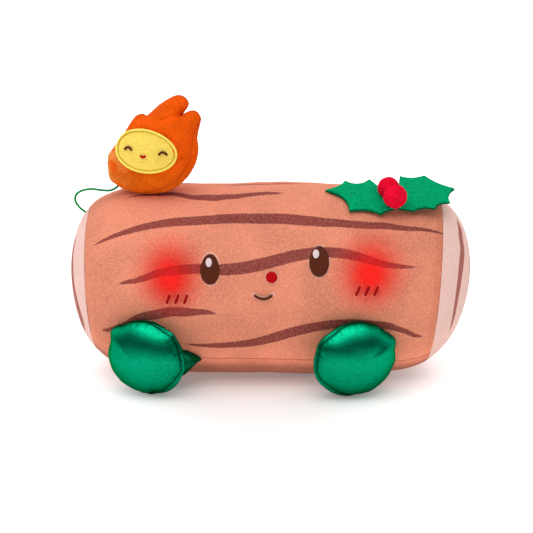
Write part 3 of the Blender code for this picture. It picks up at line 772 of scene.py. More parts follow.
def build_foil(name, roughness, dark, light):
    material, tree, shader = new_finish(name, roughness, metallic=1.0, gloss=0.5)
    shader.inputs["Specular Tint"].default_value = paint(0, 150, 96)
    ripples = noise(tree, 420.0, detail=3.0, distortion=1.2, stretch=(1, 1, 2.2))
    grain = noise(tree, 1300.0, detail=3.0)
    height = plus(tree, ripples, times(tree, grain, 0.8))
    tree.links.new(relief(tree, height, 0.26, 0.5 * MM), shader.inputs["Normal"])
    colour = blend_colours(tree, ramp(tree, ripples, 0.2, 0.8), dark, light)
    gap = maths(tree, "ABSOLUTE", marked(tree, "seam_gap"))
    wave = maths(tree, "SINE", times(tree, marked(tree, "seam_run"), 2 * math.pi / STITCH_LENGTH))
    stitches = maths(tree, "MULTIPLY_ADD", ramp(tree, wave, -0.3, 0.3), 0.3, 0.45)
    seam_darkening = times(tree, ramp(tree, gap, 0.75, 0.25), stitches)
    tree.links.new(blend_colours(tree, seam_darkening, colour, SEAM_GREEN), shader.inputs["Base Color"])
    return material


metallic_jersey = build_foil("metallic_jersey", 0.36, paint(2, 150, 100), paint(10, 180, 136))
# The cuffs get the feet's cloth in darker colours: painted shade where they sit between pad and log.
shaded_cuff_jersey = build_foil("shaded_cuff_jersey", 0.5, paint(6, 108, 72), paint(14, 132, 92))
print(metallic_jersey.name, "and", shaded_cuff_jersey.name)

# %% Shape of the feet
FEET = {
    "left": {"centre": (-81.8, -75.5), "half_width": 29.7, "yaw": -20, "corner": 141, "spare": 0.01},
    "right": {"centre": (64.3, -75.5), "half_width": 30.6, "yaw": 18, "corner": 25, "spare": 0.008},
}
FOOT_HEIGHT, FOOT_FRONT, FOOT_BACK = 28.1, 17.0, 12.0
FOOT_TILT, FOOT_LIFT = 8, 1.0
CORNER_REACH, CORNER_SPREAD = 2.8, 10
FOOT_AROUND = 29
SEAM_INSET = ([-105, -75, -45, -15, 45, 80], [0, 2.4, 2.4, 0.9, 0.8, 0])
FOOT_ROWS, FOOT_COLUMNS = 90, 200


def no_room(points):
    """1 for points on the floor or against the log, where there is no room to swell."""
    y, z = points[..., 1], points[..., 2]
    from_log = np.hypot(y, z - AXIS_HEIGHT) - log_radius(points[..., 0] * 0.97)
    return np.maximum(1 - z / (1.5 * MM), 1 - from_log / (2.5 * MM)).clip(0, 1)


def foot_rings(side, half_width, corner):
    """A pad's rings in its own axes, with how far each point is from the seam and along it."""
    polar, turn = ball_angles(FOOT_ROWS, FOOT_COLUMNS)
    rim, out = np.sin(polar), np.cos(polar)
    oval = 1 / np.hypot(np.cos(turn) / half_width, np.sin(turn) / FOOT_HEIGHT)
    off = ((np.degrees(turn) - corner + 180) % 360 - 180) / CORNER_SPREAD
    edge = oval + CORNER_REACH * np.exp(-off * off)
    around = turn * FOOT_AROUND
    inner = np.degrees(turn if side == "left" else math.pi - turn)
    inner = (inner + 180) % 360 - 180
    inset = np.interp(inner, *SEAM_INSET)
    from_seam = edge * (1 - rim) - np.where(out > 0, inset, 0)
    groove = np.exp(-(from_seam / 0.8) ** 2)
    pleats = soft_waves(around, from_seam * 0.4, 6, 21 + len(side)) * np.exp(-np.abs(from_seam) / 2.5)
    creases = soft_waves(around, 0, 17, 31 + len(side)) * np.exp(-np.abs(from_seam) / 5)
    dents = soft_waves(edge * rim * np.cos(turn), edge * rim * np.sin(turn), 30, 33 + len(side))
    depth = np.where(out > 0, FOOT_FRONT, FOOT_BACK) * np.abs(out) ** 1.2
    depth = depth + (0.16 * pleats + 0.4 * dents) * np.sqrt(np.abs(out)) - 1.2 * groove * np.abs(out)
    radius = edge * rim + (0.14 * pleats + 0.4 * creases - 0.9 * groove) * rim
    lift = np.where(out > 0, FOOT_LIFT * depth / FOOT_FRONT, 0)
    height = radius * np.sin(turn) + lift
    rings = np.stack([radius * np.cos(turn), -np.sign(out) * depth, height], axis=-1) * MM
    return rings, from_seam, around


def build_foot(side, centre, half_width, yaw, corner, spare):
    rings, from_seam, around = foot_rings(side, half_width, corner)
    place = Matrix.Translation((centre[0] * MM, centre[1] * MM, (FOOT_HEIGHT - 0.3) * MM))
    place = place @ Matrix.Rotation(math.radians(yaw), 4, "Z")
    place = place @ Matrix.Rotation(math.radians(FOOT_TILT), 4, "X")
    turned = np.array(place.to_3x3())

    def to_world(points):
        world = push_clear(points @ turned.T + np.array(place.translation), 0.6 * MM)
        world[..., 2] = np.maximum(world[..., 2], 0)
        return world

    ends = to_world(np.array([[0, -FOOT_FRONT, FOOT_LIFT], [0, FOOT_BACK, 0]]) * MM)
    rings = to_world(rings)
    foot = ringed_piece("foil_foot_" + side, rings, ends, metallic_jersey, ["foot_" + side])
    mark(foot, "seam_gap", from_seam)
    mark(foot, "seam_run", around)
    held = np.maximum(np.exp(-(from_seam / 1.2) ** 2), no_room(rings))
    press_stuffing(foot, np.append(held.ravel(), [0, 0]), spare=spare, cap=1.0 * MM)
    return foot


for side, foot in FEET.items():
    build_foot(side, **foot)

# %% [markdown]
# ### The cuffs
# The cuff is a small lens of cloth that comes out of the front seam with a point at each side. It
# could be a folded panel, but so little of it shows that a ring mesh is enough, and the parts of it
# that would lie inside the log are pushed out to its skin.

# %% Shape of the cuffs
CUFF_HALF, CUFF_DEEP, CUFF_HIGH, CUFF_LOW = 29, 14, 12, 11.5
CUFF_Y, CUFF_Z = -54, 19.8


def build_cuff(side, centre_x):
    along = -np.cos(np.linspace(0, math.pi, 62)[1:-1, None])
    turn = np.linspace(0, 2 * math.pi, 72, endpoint=False)
    along, turn = np.broadcast_arrays(along, turn)
    to_corner = (1 - np.abs(along)) * CUFF_HALF
    flare = np.minimum(1, to_corner / 15)
    up, back = np.sin(turn), np.cos(turn)
    high = CUFF_HIGH * (1 - np.exp(-to_corner / 9))
    low = CUFF_LOW * flare ** 2 * (3 - 2 * flare)
    deep = CUFF_DEEP * (1 - np.exp(-to_corner / 5)) + 0.35 * soft_waves(along * CUFF_HALF, up * 8, 9, 41)
    x, z = centre_x + along * CUFF_HALF, CUFF_Z + up * np.where(up > 0, high, low)
    rings = push_clear(np.stack([x, CUFF_Y + back * deep, z], axis=-1) * MM, 0.4 * MM)
    ends = np.array([[centre_x + way * CUFF_HALF, CUFF_Y, CUFF_Z] for way in (-1, 1)]) * MM
    ends = push_clear(ends, 0.4 * MM)
    cuff = ringed_piece("foil_cuff_" + side, rings, ends, shaded_cuff_jersey, ["cuff_" + side])
    mark(cuff, "seam_gap", np.full(along.shape, 9.0))
    return cuff


build_cuff("left", -73.5)
build_cuff("right", 65)

# %% [markdown]
# ## The flame
# The flame is a little stuffed toy of its own: two panels cut to one outline, sewn round the edge
# and turned. A stretched skin over that outline, like a soap film under slight pressure, rises
# as such a cushion does, so its height is found by letting a grid of points settle. Cloth
# simulation from two flat panels gives much the same but moves the outline, so it only presses
# the last wrinkles in. A paler painted sheen lies on the left side, the orange turns darker and
# yellower low down as painted shade, and painted shade darkens the seam.

# %% Material: orange velour
ORANGE, ORANGE_SHADED_LOW = paint(233, 86, 3), paint(210, 100, 10)
ORANGE_PAINTED_SHEEN, ORANGE_SEAM_SHADE = paint(240, 158, 78), paint(170, 52, 6)


def build_orange():
    soft_edge = {"sheen": 0.26, "sheen_tint": paint(255, 150, 70)}
    material, tree, shader = new_finish("orange_velour", 0.85, gloss=0.04, **soft_edge)
    place = add_node(tree, "SeparateXYZ", {0: own_place(tree)}).outputs
    # Painted shade: the orange turns darker and yellower low down.
    low = times(tree, ramp(tree, place["Z"], 0.160, 0.144), 0.75)
    dyed = blend_colours(tree, low, ORANGE, ORANGE_SHADED_LOW)
    # Painted sheen: a paler orange lights the left side.
    left = ramp(tree, place["X"], -0.092, -0.114)
    painted_sheen_left = times(tree, left, ramp(tree, noise(tree, 90.0, detail=3.0), 0.35, 0.6), 0.8)
    # Painted shade in the groove of the seam round the flame.
    edge = maths(tree, "ABSOLUTE", marked(tree, "seam_gap"))
    seam_darkening = times(tree, ramp(tree, edge, 0.9, 0.2), 0.38)
    colour = blend_colours(tree, seam_darkening, blend_colours(tree, painted_sheen_left, dyed, ORANGE_PAINTED_SHEEN), ORANGE_SEAM_SHADE)
    pile = {"fibre_spacing": 0.35 * MM, "depth": 0.2, "cloud_size": 14 * MM, "clouds": 0.22}
    place_group(tree, shader, velour_pile, colour, pale_tips=0.008, **pile)
    return material


orange_velour = build_orange()
print(orange_velour.name, len(orange_velour.node_tree.nodes), "nodes")

# %% The settling skin
FLAME_OUTLINE = [
    (33.1, 2.3), (32.6, 13), (34.2, 20), (35.8, 26), (33.2, 30.8), (29, 31.9), (24.4, 30.2),
    (21.2, 28.2), (25.4, 33.6), (26.6, 37.2), (23.6, 41.4), (18.1, 42.5), (12.7, 40.3),
    (4.3, 35.1), (-4.8, 27.6), (-8.4, 28.6), (-12.4, 27.7), (-15.8, 24.4), (-20.9, 16.5),
    (-27.3, 8.3), (-33.8, 0.1), (-35.8, -7), (-35.2, -14.8), (-31.4, -22.2), (-21.5, -27.4),
    (-6.2, -29.3), (11.7, -25.8), (23, -18.2), (30.6, -7.1),
]
FLAME_HUB = np.array([-8.0, 4.0])
GRID = 0.5


def inside_outline(outline, u, v):
    inside = np.zeros(u.shape, bool)
    for (u0, v0), (u1, v1) in zip(outline, np.roll(outline, -1, axis=0)):
        crosses = (v0 > v) != (v1 > v)
        inside ^= crosses & (u < u0 + (v - v0) * (u1 - u0) / (v1 - v0 if v1 != v0 else 1))
    return inside


def settle_skin(outline, rounds=4000):
    """Height of a stretched skin over the outline, on a grid that starts at its lowest corner."""
    low = outline.min(axis=0) - 2 * GRID
    size = np.ceil((outline.max(axis=0) + 2 * GRID - low) / GRID).astype(int) + 1
    levels = [low[k] + GRID * np.arange(size[k]) for k in (0, 1)]
    cloth = inside_outline(outline, *np.meshgrid(*levels, indexing="ij"))
    skin = np.zeros(cloth.shape)
    for _ in range(rounds):
        around = sum(np.roll(skin, shift, axis) for shift in (-1, 1) for axis in (0, 1))
        skin = np.where(cloth, (around + GRID * GRID) / 4, 0)
    return low, skin


flame_outline = even_points(FLAME_OUTLINE, 320, closed=True)
skin_low, flame_skin = settle_skin(flame_outline)
print("flame skin rises to", round(float(flame_skin.max()), 1))


def flame_depth(u, v):
    """Half the flame's thickness in millimetres, from the settled skin."""
    place = (np.stack([u, v], axis=-1) - skin_low) / GRID
    i = np.clip(place[..., 0].astype(int), 0, flame_skin.shape[0] - 2)
    j = np.clip(place[..., 1].astype(int), 0, flame_skin.shape[1] - 2)
    a, b = place[..., 0] - i, place[..., 1] - j
    level = (flame_skin[i, j] * (1 - a) * (1 - b) + flame_skin[i + 1, j] * a * (1 - b)
             + flame_skin[i, j + 1] * (1 - a) * b + flame_skin[i + 1, j + 1] * a * b)
    return 0.86 * np.sqrt(np.maximum(0, 2 * level))


# %% Build the flame
FLAME_TURN = np.array(Matrix.Rotation(math.radians(-15), 3, "Z"))
FLAME_CENTRE = np.array([-80, -22, 165])
FRONT_PANEL_INSET = ([-100, -60, 0, 28], [0, 3.2, 2.4, 0])
NOTCH_CREASE = [(21.6, 28.4, 0), (16.5, 26.6, 0), (11, 25.6, 0)]
FLAME_ROWS, FLAME_AROUND = 110, 230
PATCH_CENTRE = np.array([-1.2, 3.4])
PATCH_HALF = np.array([22.2, 13.8])


def flame_place(u, v, out):
    """World points from the flame's own axes in millimetres: across, up and towards the front."""
    return (np.stack([u, -out, v], axis=-1) @ FLAME_TURN.T + FLAME_CENTRE) * MM


def above_flame(u, v, lift):
    """Points that far in millimetres off the flame's front panel, square to it."""
    slope_u = (flame_depth(u + 1, v) - flame_depth(u - 1, v)) / 2
    slope_v = (flame_depth(u, v + 1) - flame_depth(u, v - 1)) / 2
    shift = lift / np.sqrt(1 + slope_u ** 2 + slope_v ** 2)
    return flame_place(u - slope_u * shift, v - slope_v * shift, flame_depth(u, v) + shift)


def flame_rings():
    """The flame's points across and up, which side they are on, their depth and seam distance."""
    polar, _ = ball_angles(FLAME_ROWS, len(flame_outline))
    share, side = np.sin(polar), np.sign(np.cos(polar))
    spokes = flame_outline - FLAME_HUB
    u, v = np.moveaxis(FLAME_HUB + spokes * share[..., None], -1, 0)
    from_seam = np.linalg.norm(spokes, axis=1) * (1 - share)
    facing = np.degrees(np.arctan2(spokes[:, 1], spokes[:, 0]))
    seam_gap = from_seam - np.where(side > 0, np.interp(facing, *FRONT_PANEL_INSET), 0)
    around = np.linspace(0, FLAME_AROUND, len(flame_outline), endpoint=False)
    puckers = soft_waves(around, from_seam * 0.3, 7, 51) * np.exp(-from_seam / 4)
    lumps = 0.8 * soft_waves(u, v, 15, 52)
    depth = flame_depth(u, v)
    crease = 1.5 * np.exp(-(stroke_gap(u, v, NOTCH_CREASE) / 1.5) ** 2) * (side > 0)
    depth = depth + (0.8 * puckers + lumps) * np.minimum(1, depth / 6)
    depth = depth - (crease + 0.9 * fold(np.abs(seam_gap), 1.0)) * np.minimum(1, depth / 4)
    return u, v, side, np.maximum(0, depth), seam_gap


def build_flame():
    u, v, side, depth, seam_gap = flame_rings()
    rings = push_clear(flame_place(u, v, depth * side), 0.5 * MM)
    hub_depth = flame_depth(FLAME_HUB[:1], FLAME_HUB[1:])[0]
    ends = [flame_place(*FLAME_HUB, hub_depth), flame_place(*FLAME_HUB, -hub_depth)]
    flame = ringed_piece("velour_flame", rings, ends, orange_velour, ["flame_body"])
    mark(flame, "seam_gap", seam_gap)
    on_patch = side * np.hypot((u - PATCH_CENTRE[0]) / PATCH_HALF[0], (v - PATCH_CENTRE[1]) / PATCH_HALF[1])
    under_patch = (side > 0) * np.clip(6 - 5 * on_patch, 0, 1)
    held = np.maximum.reduce([np.exp(-(seam_gap / 1.2) ** 2), under_patch, no_room(rings)])
    press_stuffing(flame, np.append(held.ravel(), [1, 0]), spare=0.03, cap=0.9 * MM)
    return flame


build_flame()

# %% [markdown]
# ## The flame's face patch
# A yellow patch with a corded gold edge is stitched onto the flame, with a plain sleepy face in
# thread. The patch follows the flame's bulge. A modifier could wrap it round, but the settled skin
# gives every height exactly, so it is laid on point by point.

# %% Materials: yellow velour and threads
def build_yellow():
    material, tree, shader = new_finish("yellow_velour", 0.85, sheen=0.08, sheen_tint=paint(255, 240, 150))
    # Amber at the patch's edge: partly its own colour, partly painted shade where it meets the gold rim.
    edge = ramp(tree, marked(tree, "from_middle"), 0.93, 0.98)
    colour = blend_colours(tree, edge, paint(246, 214, 92), paint(222, 166, 44))
    pile = {"fibre_spacing": 0.4 * MM, "depth": 0.16, "cloud_size": 9 * MM, "clouds": 0.07}
    place_group(tree, shader, velour_pile, colour, pale_tips=0.04, **pile)
    return material


def build_thread(name, colour, row=0.5):
    material, tree, shader = new_finish(name, 0.55, gloss=0.06)
    place_group(tree, shader, satin_rows, colour, row_width=row, depth=0.6)
    return material


yellow_velour = build_yellow()
gold_thread = build_thread("gold_thread", paint(253, 238, 108), row=1.0)
brown_thread = build_thread("brown_thread", paint(88, 40, 24), row=1.5)
red_thread = build_thread("red_thread", paint(186, 4, 14), row=0.9)
dark_red_thread = build_thread("dark_red_thread", paint(172, 8, 10))
white_thread = build_thread("white_thread", paint(234, 210, 212), row=0.9)
FINE_THREAD, LOG_THREAD = 0.85 * MM, 0.95 * MM
print("five threads")

# %% Threads along a line
def thread_piece(name, points, radius, finish, stands_for, closed=False, twist=1.2):
    """A round thread along the points; its across_threads number winds round it like a twist."""
    points = np.array(points, float)
    heading = np.gradient(points, axis=0)
    if closed:
        heading = np.roll(points, -1, axis=0) - np.roll(points, 1, axis=0)
    heading /= np.linalg.norm(heading, axis=1)[:, None]
    side = np.cross(heading, [0, -1, 0])
    side /= np.linalg.norm(side, axis=1)[:, None]
    over = np.cross(side, heading)
    turn = np.linspace(0, 2 * math.pi, 16, endpoint=False)
    travelled = np.concatenate([[0], np.cumsum(np.linalg.norm(np.diff(points, axis=0), axis=1))])
    thick = np.full(len(points), radius)
    if not closed:
        to_end = np.minimum(travelled, travelled[-1] - travelled) / radius
        thick = radius * np.sqrt(np.clip(1 - (1 - np.minimum(to_end, 1)) ** 2, 0.04, 1))
    circle = np.cos(turn)[:, None] * side[:, None] + np.sin(turn)[:, None] * over[:, None]
    rings = points[:, None] + circle * thick[:, None, None]
    winding = travelled[:, None] / MM + twist * turn / (2 * math.pi)
    if not closed:
        piece = ringed_piece(name, rings, [points[0], points[-1]], finish, stands_for)
        mark(piece, "across_threads", winding)
        return piece
    return hoop_piece(name, rings, winding, finish, stands_for)


def hoop_piece(name, rings, winding, finish, stands_for):
    """A closed hoop: its rings run round it and the last one joins the first."""
    rows, columns = rings.shape[:2]
    index = np.arange(rows * columns).reshape(rows, columns)
    after, beside = np.roll(index, -1, axis=0), np.roll(index, -1, axis=1)
    both = np.roll(after, -1, axis=1)
    faces = np.stack([index, after, both, beside], axis=-1).reshape(-1, 4)
    mesh = bpy.data.meshes.new(name)
    mesh.from_pydata(rings.reshape(-1, 3).tolist(), [], faces.tolist())
    made = bmesh.new()
    made.from_mesh(mesh)
    bmesh.ops.recalc_face_normals(made, faces=made.faces)
    made.to_mesh(mesh)
    made.free()
    mesh.shade_smooth()
    mesh.attributes.new("across_threads", "FLOAT", "POINT").data.foreach_set("value", winding.ravel())
    print(name, rows * columns, "points")
    return join_frame(new_object(name, mesh), finish, stands_for)


# %% Patch, rim and face
PATCH_TURN = math.radians(-6)
PATCH_UNDERSIDE, PATCH_SWELL = 0.6, 1.0
RIM_OUTSIDE, RIM_LIFT, MARK_LIFT = 0.8, 1.1, 0.75


def patch_uv(across, up, half=PATCH_HALF):
    a, b = half[0] * across, half[1] * up
    u = PATCH_CENTRE[0] + a * math.cos(PATCH_TURN) - b * math.sin(PATCH_TURN)
    return u, PATCH_CENTRE[1] + a * math.sin(PATCH_TURN) + b * math.cos(PATCH_TURN)


def patch_lift(across, up):
    return PATCH_UNDERSIDE + PATCH_SWELL * np.sqrt(np.maximum(0, 1 - across ** 2 - up ** 2))


def build_patch():
    polar, turn = ball_angles(40, 128)
    across, up = np.sin(polar) * np.cos(turn), np.sin(polar) * np.sin(turn)
    lift = np.where(np.cos(polar) > 0, patch_lift(across, up), PATCH_UNDERSIDE)
    rings = above_flame(*patch_uv(across, up), lift)
    middle = patch_uv(np.zeros(1), np.zeros(1))
    ends = [above_flame(*middle, lift)[0] for lift in (PATCH_UNDERSIDE + PATCH_SWELL, PATCH_UNDERSIDE)]
    patch = ringed_piece("yellow_patch", rings, ends, yellow_velour, ["flame_face"])
    mark(patch, "from_middle", np.hypot(across, up))
    turn = np.linspace(0, 2 * math.pi, 220, endpoint=False)
    rim = above_flame(*patch_uv(np.cos(turn), np.sin(turn), PATCH_HALF + RIM_OUTSIDE), RIM_LIFT)
    thread_piece("gold_rim", rim, FINE_THREAD, gold_thread, ["flame_rim"], closed=True)


build_patch()
FLAME_MARKS = {
    "flame_eye_left": ((-12.9, 3.6), 3.1, 2.2, brown_thread, "brown_thread"),
    "flame_eye_right": ((13.0, 1.2), 3.1, 2.2, brown_thread, "brown_thread"),
    "flame_mouth": ((-1.3, 0.8), 1.9, -1.3, red_thread, "red_thread"),
}
for name, (middle, half_width, rise, finish, slot) in FLAME_MARKS.items():
    share = np.linspace(-1, 1, 33)
    u, v = middle[0] + half_width * share, middle[1] + rise * (1 - share ** 2)
    lift = patch_lift((u - PATCH_CENTRE[0]) / PATCH_HALF[0], (v - PATCH_CENTRE[1]) / PATCH_HALF[1])
    line = above_flame(u, v, lift + MARK_LIFT)
    thread_piece("stitched_" + name, line, FINE_THREAD, finish, [name])

# %% [markdown]
# ## The embroidered face on the log
# Eyes, glints and nose are satin-stitched pads, a little raised because the stitches cross over a
# layer of padding. They could be printed like the bark, but raised stitches catch the light. Each
# is a flattened ball bent round the log. The smile and the cheek dashes are single cords of
# stitches.

# %% Stitched pads
PAD_UNDERSIDE, PAD_SWELL, GLINT_ABOVE = 0.35, 0.9, 0.3
THREADS_ACROSS, THREADS_UP = 0.94, 0.34


def stitched_pad(name, centre, half, finish, slot, stands_for, narrowing=0.0, base=None):
    """A raised oval on the log; it may narrow upwards or lie on another pad."""
    polar, turn = ball_angles(32, 96)
    across, up, out = np.sin(polar) * np.cos(turn), np.sin(polar) * np.sin(turn), np.cos(polar)

    def place(across, up, out):
        x, arc = centre[0] + half[0] * across * (1 - narrowing * up), half[1] * up
        floor = np.full(np.shape(x), PAD_UNDERSIDE)
        if base:
            a = (x - base[0]) / base[2]
            b = ((centre[1] - base[1]) * MM_PER_DEGREE + arc) / base[3]
            floor = floor + GLINT_ABOVE + PAD_SWELL * np.sqrt(np.maximum(0, 1 - a * a - b * b))
        lift = (floor + PAD_SWELL * np.maximum(0, out)) * MM
        return on_log(x * MM, centre[1] + arc / MM_PER_DEGREE, lift)

    ends = [place(0, 0, 1), place(0, 0, -1)]
    pad = ringed_piece(name, place(across, up, out), ends, finish, stands_for)
    mark(pad, "across_threads", half[0] * across * THREADS_ACROSS + half[1] * up * THREADS_UP)


brown, white = (brown_thread, "brown_thread"), (white_thread, "white_thread")
red, dark_red = (red_thread, "red_thread"), (dark_red_thread, "red_thread")
for side, (x, degrees, *half) in EYES.items():
    glint, base = GLINTS[side], (x, degrees, *half)
    stitched_pad("stitched_eye_" + side, (x, degrees), half, *brown, ["eye_" + side], narrowing=0.1)
    stitched_pad("stitched_glint_" + side, glint, GLINT_HALF, *white, ["glint_" + side], base=base)
stitched_pad("stitched_nose", NOSE, (NOSE_HALF, NOSE_HALF), *red, ["nose"])

# %% Smile and cheek dashes
def log_thread(node_name, line, finish, slot):
    points = on_log(line[:, 0] * MM, line[:, 1], 1.2 * MM)
    thread_piece("stitched_" + node_name, points, LOG_THREAD, finish, [node_name])


log_thread("smile", smile_line(49), *brown)
for side in BLUSH:
    for number in (1, 2, 3):
        log_thread(f"blush_{side}_{number}", dash_line(side, number, 25), *dark_red)

# %% [markdown]
# ## Holly leaves
# Each leaf is cut from two layers of thick green felt, and the cut edge shows the lower, darker
# layer. A leaf could be modelled in its bent form, but cutting it flat first keeps its flat size
# known. The outline is a polygon with spikes and hollows. It is filled as a flat shape, cut into
# small squares so that it can bend, and laid on the curve of the log's top.

# %% Materials: felt and wool
def build_felt_finish(name, colour, fleck, tint, sheen=0.06, depth=0.8):
    material, tree, shader = new_finish(name, 0.95, sheen=sheen, sheen_tint=tint, gloss=0.02)
    place_group(tree, shader, felt_fibres, colour, depth=depth, fleck=fleck)
    return material


green_felt = build_felt_finish("green_felt", paint(3, 174, 114), 0.8, paint(90, 220, 160))
dark_felt = build_felt_finish("dark_felt", paint(2, 104, 60), 0.9, paint(60, 180, 120))
red_wool = build_felt_finish("red_wool", paint(255, 18, 56), 0.6, paint(255, 20, 60), sheen=0.0)
print(green_felt.name, dark_felt.name, red_wool.name)

# %% Cut and bend the leaves
LEAVES = {
    "left": [
        (43.6, 8.4), (57.9, 23.9), (76.2, 25.1), (83.6, 11.2), (84.2, 3.0), (86.2, -6.0),
        (91.0, -9.0), (93.0, -14.5), (83.0, -21.0), (60.5, -17.1),
    ],
    "right": [
        (98.8, 32.5), (117.1, 32.7), (137.4, 11.8), (132.6, -7.0), (121.0, -14.6),
        (106.3, -16.6), (95.6, -14.5), (95.6, -4.0), (96.2, 6.0),
    ],
}
HOLLOWS = {
    "left": [0.26, 0.7, 0, 0, 0, 0, 0, 0.2, 0.24, 0.32],
    "right": [0.4, 0.2, 0.26, 0.44, 0.32, 0, 0, 0, 0],
}
FELT_THICK = 1.05
LAYERS = {"top": (0.33, 0.985), "under": (-0.87, 1.0)}
FELT_CURVE = 0.2
FELT_ANGLE = math.radians(66)
FELT_SQUARE, FELT_FUZZ = 1.6, 0.07


def leaf_outline(side):
    outline = []
    for i, (start, share) in enumerate(zip(LEAVES[side], HOLLOWS[side])):
        start, end = Vector(start), Vector(LEAVES[side][(i + 1) % len(LEAVES[side])])
        along = end - start
        inward = Vector((along.y, -along.x)) * share
        for k in range(12):
            t = k / 12
            outline.append(start + along * t + inward * 2 * t * (1 - t))
    return outline


def flat_leaf(name, outline, thick):
    """The outline as a flat solid, from a filled 2D curve."""
    curve = bpy.data.curves.new(name, "CURVE")
    curve.dimensions = "2D"
    curve.fill_mode = "BOTH"
    curve.extrude = thick / 2
    spline = curve.splines.new("POLY")
    spline.points.add(len(outline) - 1)
    for target, point in zip(spline.points, outline):
        target.co = (*point, 0, 1)
    spline.use_cyclic_u = True
    guide = new_object(name, curve)
    bpy.context.view_layer.update()
    mesh = bpy.data.meshes.new_from_object(guide.evaluated_get(bpy.context.evaluated_depsgraph_get()))
    bpy.data.objects.remove(guide)
    return mesh


def cut_squares(made, size):
    """Cut a flat mesh by a grid of planes, so that it can bend smoothly."""
    for axis, normal in ((0, (1, 0, 0)), (1, (0, 1, 0))):
        levels = [vertex.co[axis] for vertex in made.verts]
        for level in np.arange(min(levels) + size, max(levels), size):
            everything = made.verts[:] + made.edges[:] + made.faces[:]
            place = [level * share for share in normal]
            bmesh.ops.bisect_plane(made, geom=everything, plane_co=place, plane_no=normal, dist=0.001)


def bend_leaf(x, across, height):
    """From the flat felt to its place on the log: a sheet that curves slowly round the top."""
    normal = Vector((0, -math.cos(FELT_ANGLE), math.sin(FELT_ANGLE)))
    back = Vector((0, math.sin(FELT_ANGLE), math.cos(FELT_ANGLE)))
    turn = across * MM / FELT_CURVE
    touch = Vector((x * MM, 0, AXIS_HEIGHT)) + normal * (LOG_RADIUS + 1.9 * MM)
    wave = 0.35 * MM * math.sin(x / 7) * math.cos(across / 8)
    out = normal * (math.cos(turn) * (FELT_CURVE + height * MM + wave) - FELT_CURVE)
    return touch + out + back * math.sin(turn) * FELT_CURVE


def build_leaf(side, layer, finish):
    name = f"felt_leaf_{side}_{layer}"
    level, share = LAYERS[layer]
    outline = leaf_outline(side)
    middle = sum(outline, Vector((0, 0))) / len(outline)
    outline = [middle + (point - middle) * share for point in outline]
    made = bmesh.new()
    made.from_mesh(flat_leaf(name, outline, FELT_THICK))
    area = sum(face.calc_area() for face in made.faces if face.normal.z > 0.5) * MM * MM
    cut_squares(made, FELT_SQUARE)
    bmesh.ops.remove_doubles(made, verts=made.verts, dist=0.01)
    bmesh.ops.triangulate(made, faces=made.faces)
    random = np.random.default_rng(len(name))
    for vertex in made.verts:
        x, across, height = vertex.co + Vector(random.normal(0, FELT_FUZZ, 3))
        vertex.co = bend_leaf(x, across, height + level)
    bmesh.ops.recalc_face_normals(made, faces=made.faces)
    mesh = bpy.data.meshes.new(name)
    made.to_mesh(mesh)
    made.free()
    mesh.shade_smooth()
    mesh.set_sharp_from_angle(angle=math.radians(50))
    piece = join_frame(new_object(name, mesh), finish, ["leaf_" + side])
    return piece


for side in LEAVES:
    build_leaf(side, "top", green_felt)
    build_leaf(side, "under", dark_felt)

# %% [markdown]
# ## Berries
# The berries are wool balls, needle-felted until they are firm. Hair strands could show their
# fuzz, but it is shorter than a pixel here. Their skin is never quite round, so a ball of fine
# rings is roughened by slow waves and by a fine random fuzz.

# %% Build the berries
BERRIES = {"back": ((88.8, -30.4, 142.1), 7.8), "front": ((92.5, -46.6, 138.3), 8.4)}


def build_berry(side, centre, radius):
    polar, turn = ball_angles(60, 110)
    ball = np.stack([np.sin(polar) * np.cos(turn), np.sin(polar) * np.sin(turn), np.cos(polar)], axis=-1)
    lumps = soft_waves(ball[..., 0], ball[..., 1] + ball[..., 2], 0.9, 61)
    fuzz = np.random.default_rng(62).normal(0, 0.07, polar.shape)
    rings = (ball * (radius + 0.12 * lumps + fuzz)[..., None] + np.array(centre)) * MM
    ends = [(np.array(centre) + [0, 0, way * radius]) * MM for way in (1, -1)]
    berry = ringed_piece("wool_berry_" + side, rings, ends, red_wool, ["berry_" + side])
    return berry


for side, (centre, radius) in BERRIES.items():
    build_berry(side, centre, radius)

# %% [markdown]
# ## The cord
# A thin green cord comes out of the top of the left seam, makes a loop in the air and holds the
# flame. It is twisted cotton, stiff enough to stand. A curve with a round edge would do as well,
# but the thread helper also counts the twist. Its route is the frame's own, and its length is
# measured along the same points.

# %% Build the cord
CORD_ROUTE = [
    (-131.6, -17.2, 121.2), (-135.2, -17.4, 123.9), (-138.4, -17.6, 128.0), (-139.2, -17.8, 131.6),
    (-137.6, -18.0, 135.2), (-133.4, -18.2, 137.5), (-127.0, -18.3, 138.6), (-120.0, -18.2, 137.8),
    (-113.6, -17.6, 137.5), (-109.6, -16.6, 139.0), (-107.4, -15.6, 140.8), (-105.2, -14.8, 142.6),
]
CORD_DIAMETER = 1.7 * MM


def build_cord():
    finish = build_thread("green_cord", paint(20, 148, 72), row=0.9)
    path = even_points(CORD_ROUTE, 160) * MM
    cord = thread_piece("green_cord", path, CORD_DIAMETER / 2, finish, ["flame_cord"])
    return cord


build_cord()

# %% [markdown]
# ## Floor, light and camera
# The toy stands on a white table in a bright studio: large soft lamps above and in front of it, a
# weak one at each side, and a dim horizon that gives the shiny feet their dark band. The camera
# sees plain white behind the toy, while the cloth and foil see a softly shaded room. A wide white
# table would need a brighter and larger studio to look white, so this one glows a little instead:
# away from the toy for the camera, and as light that bounces back up at the cloth and the foil.

# %% Floor
def grey(level):
    return (level, level, level, 1)


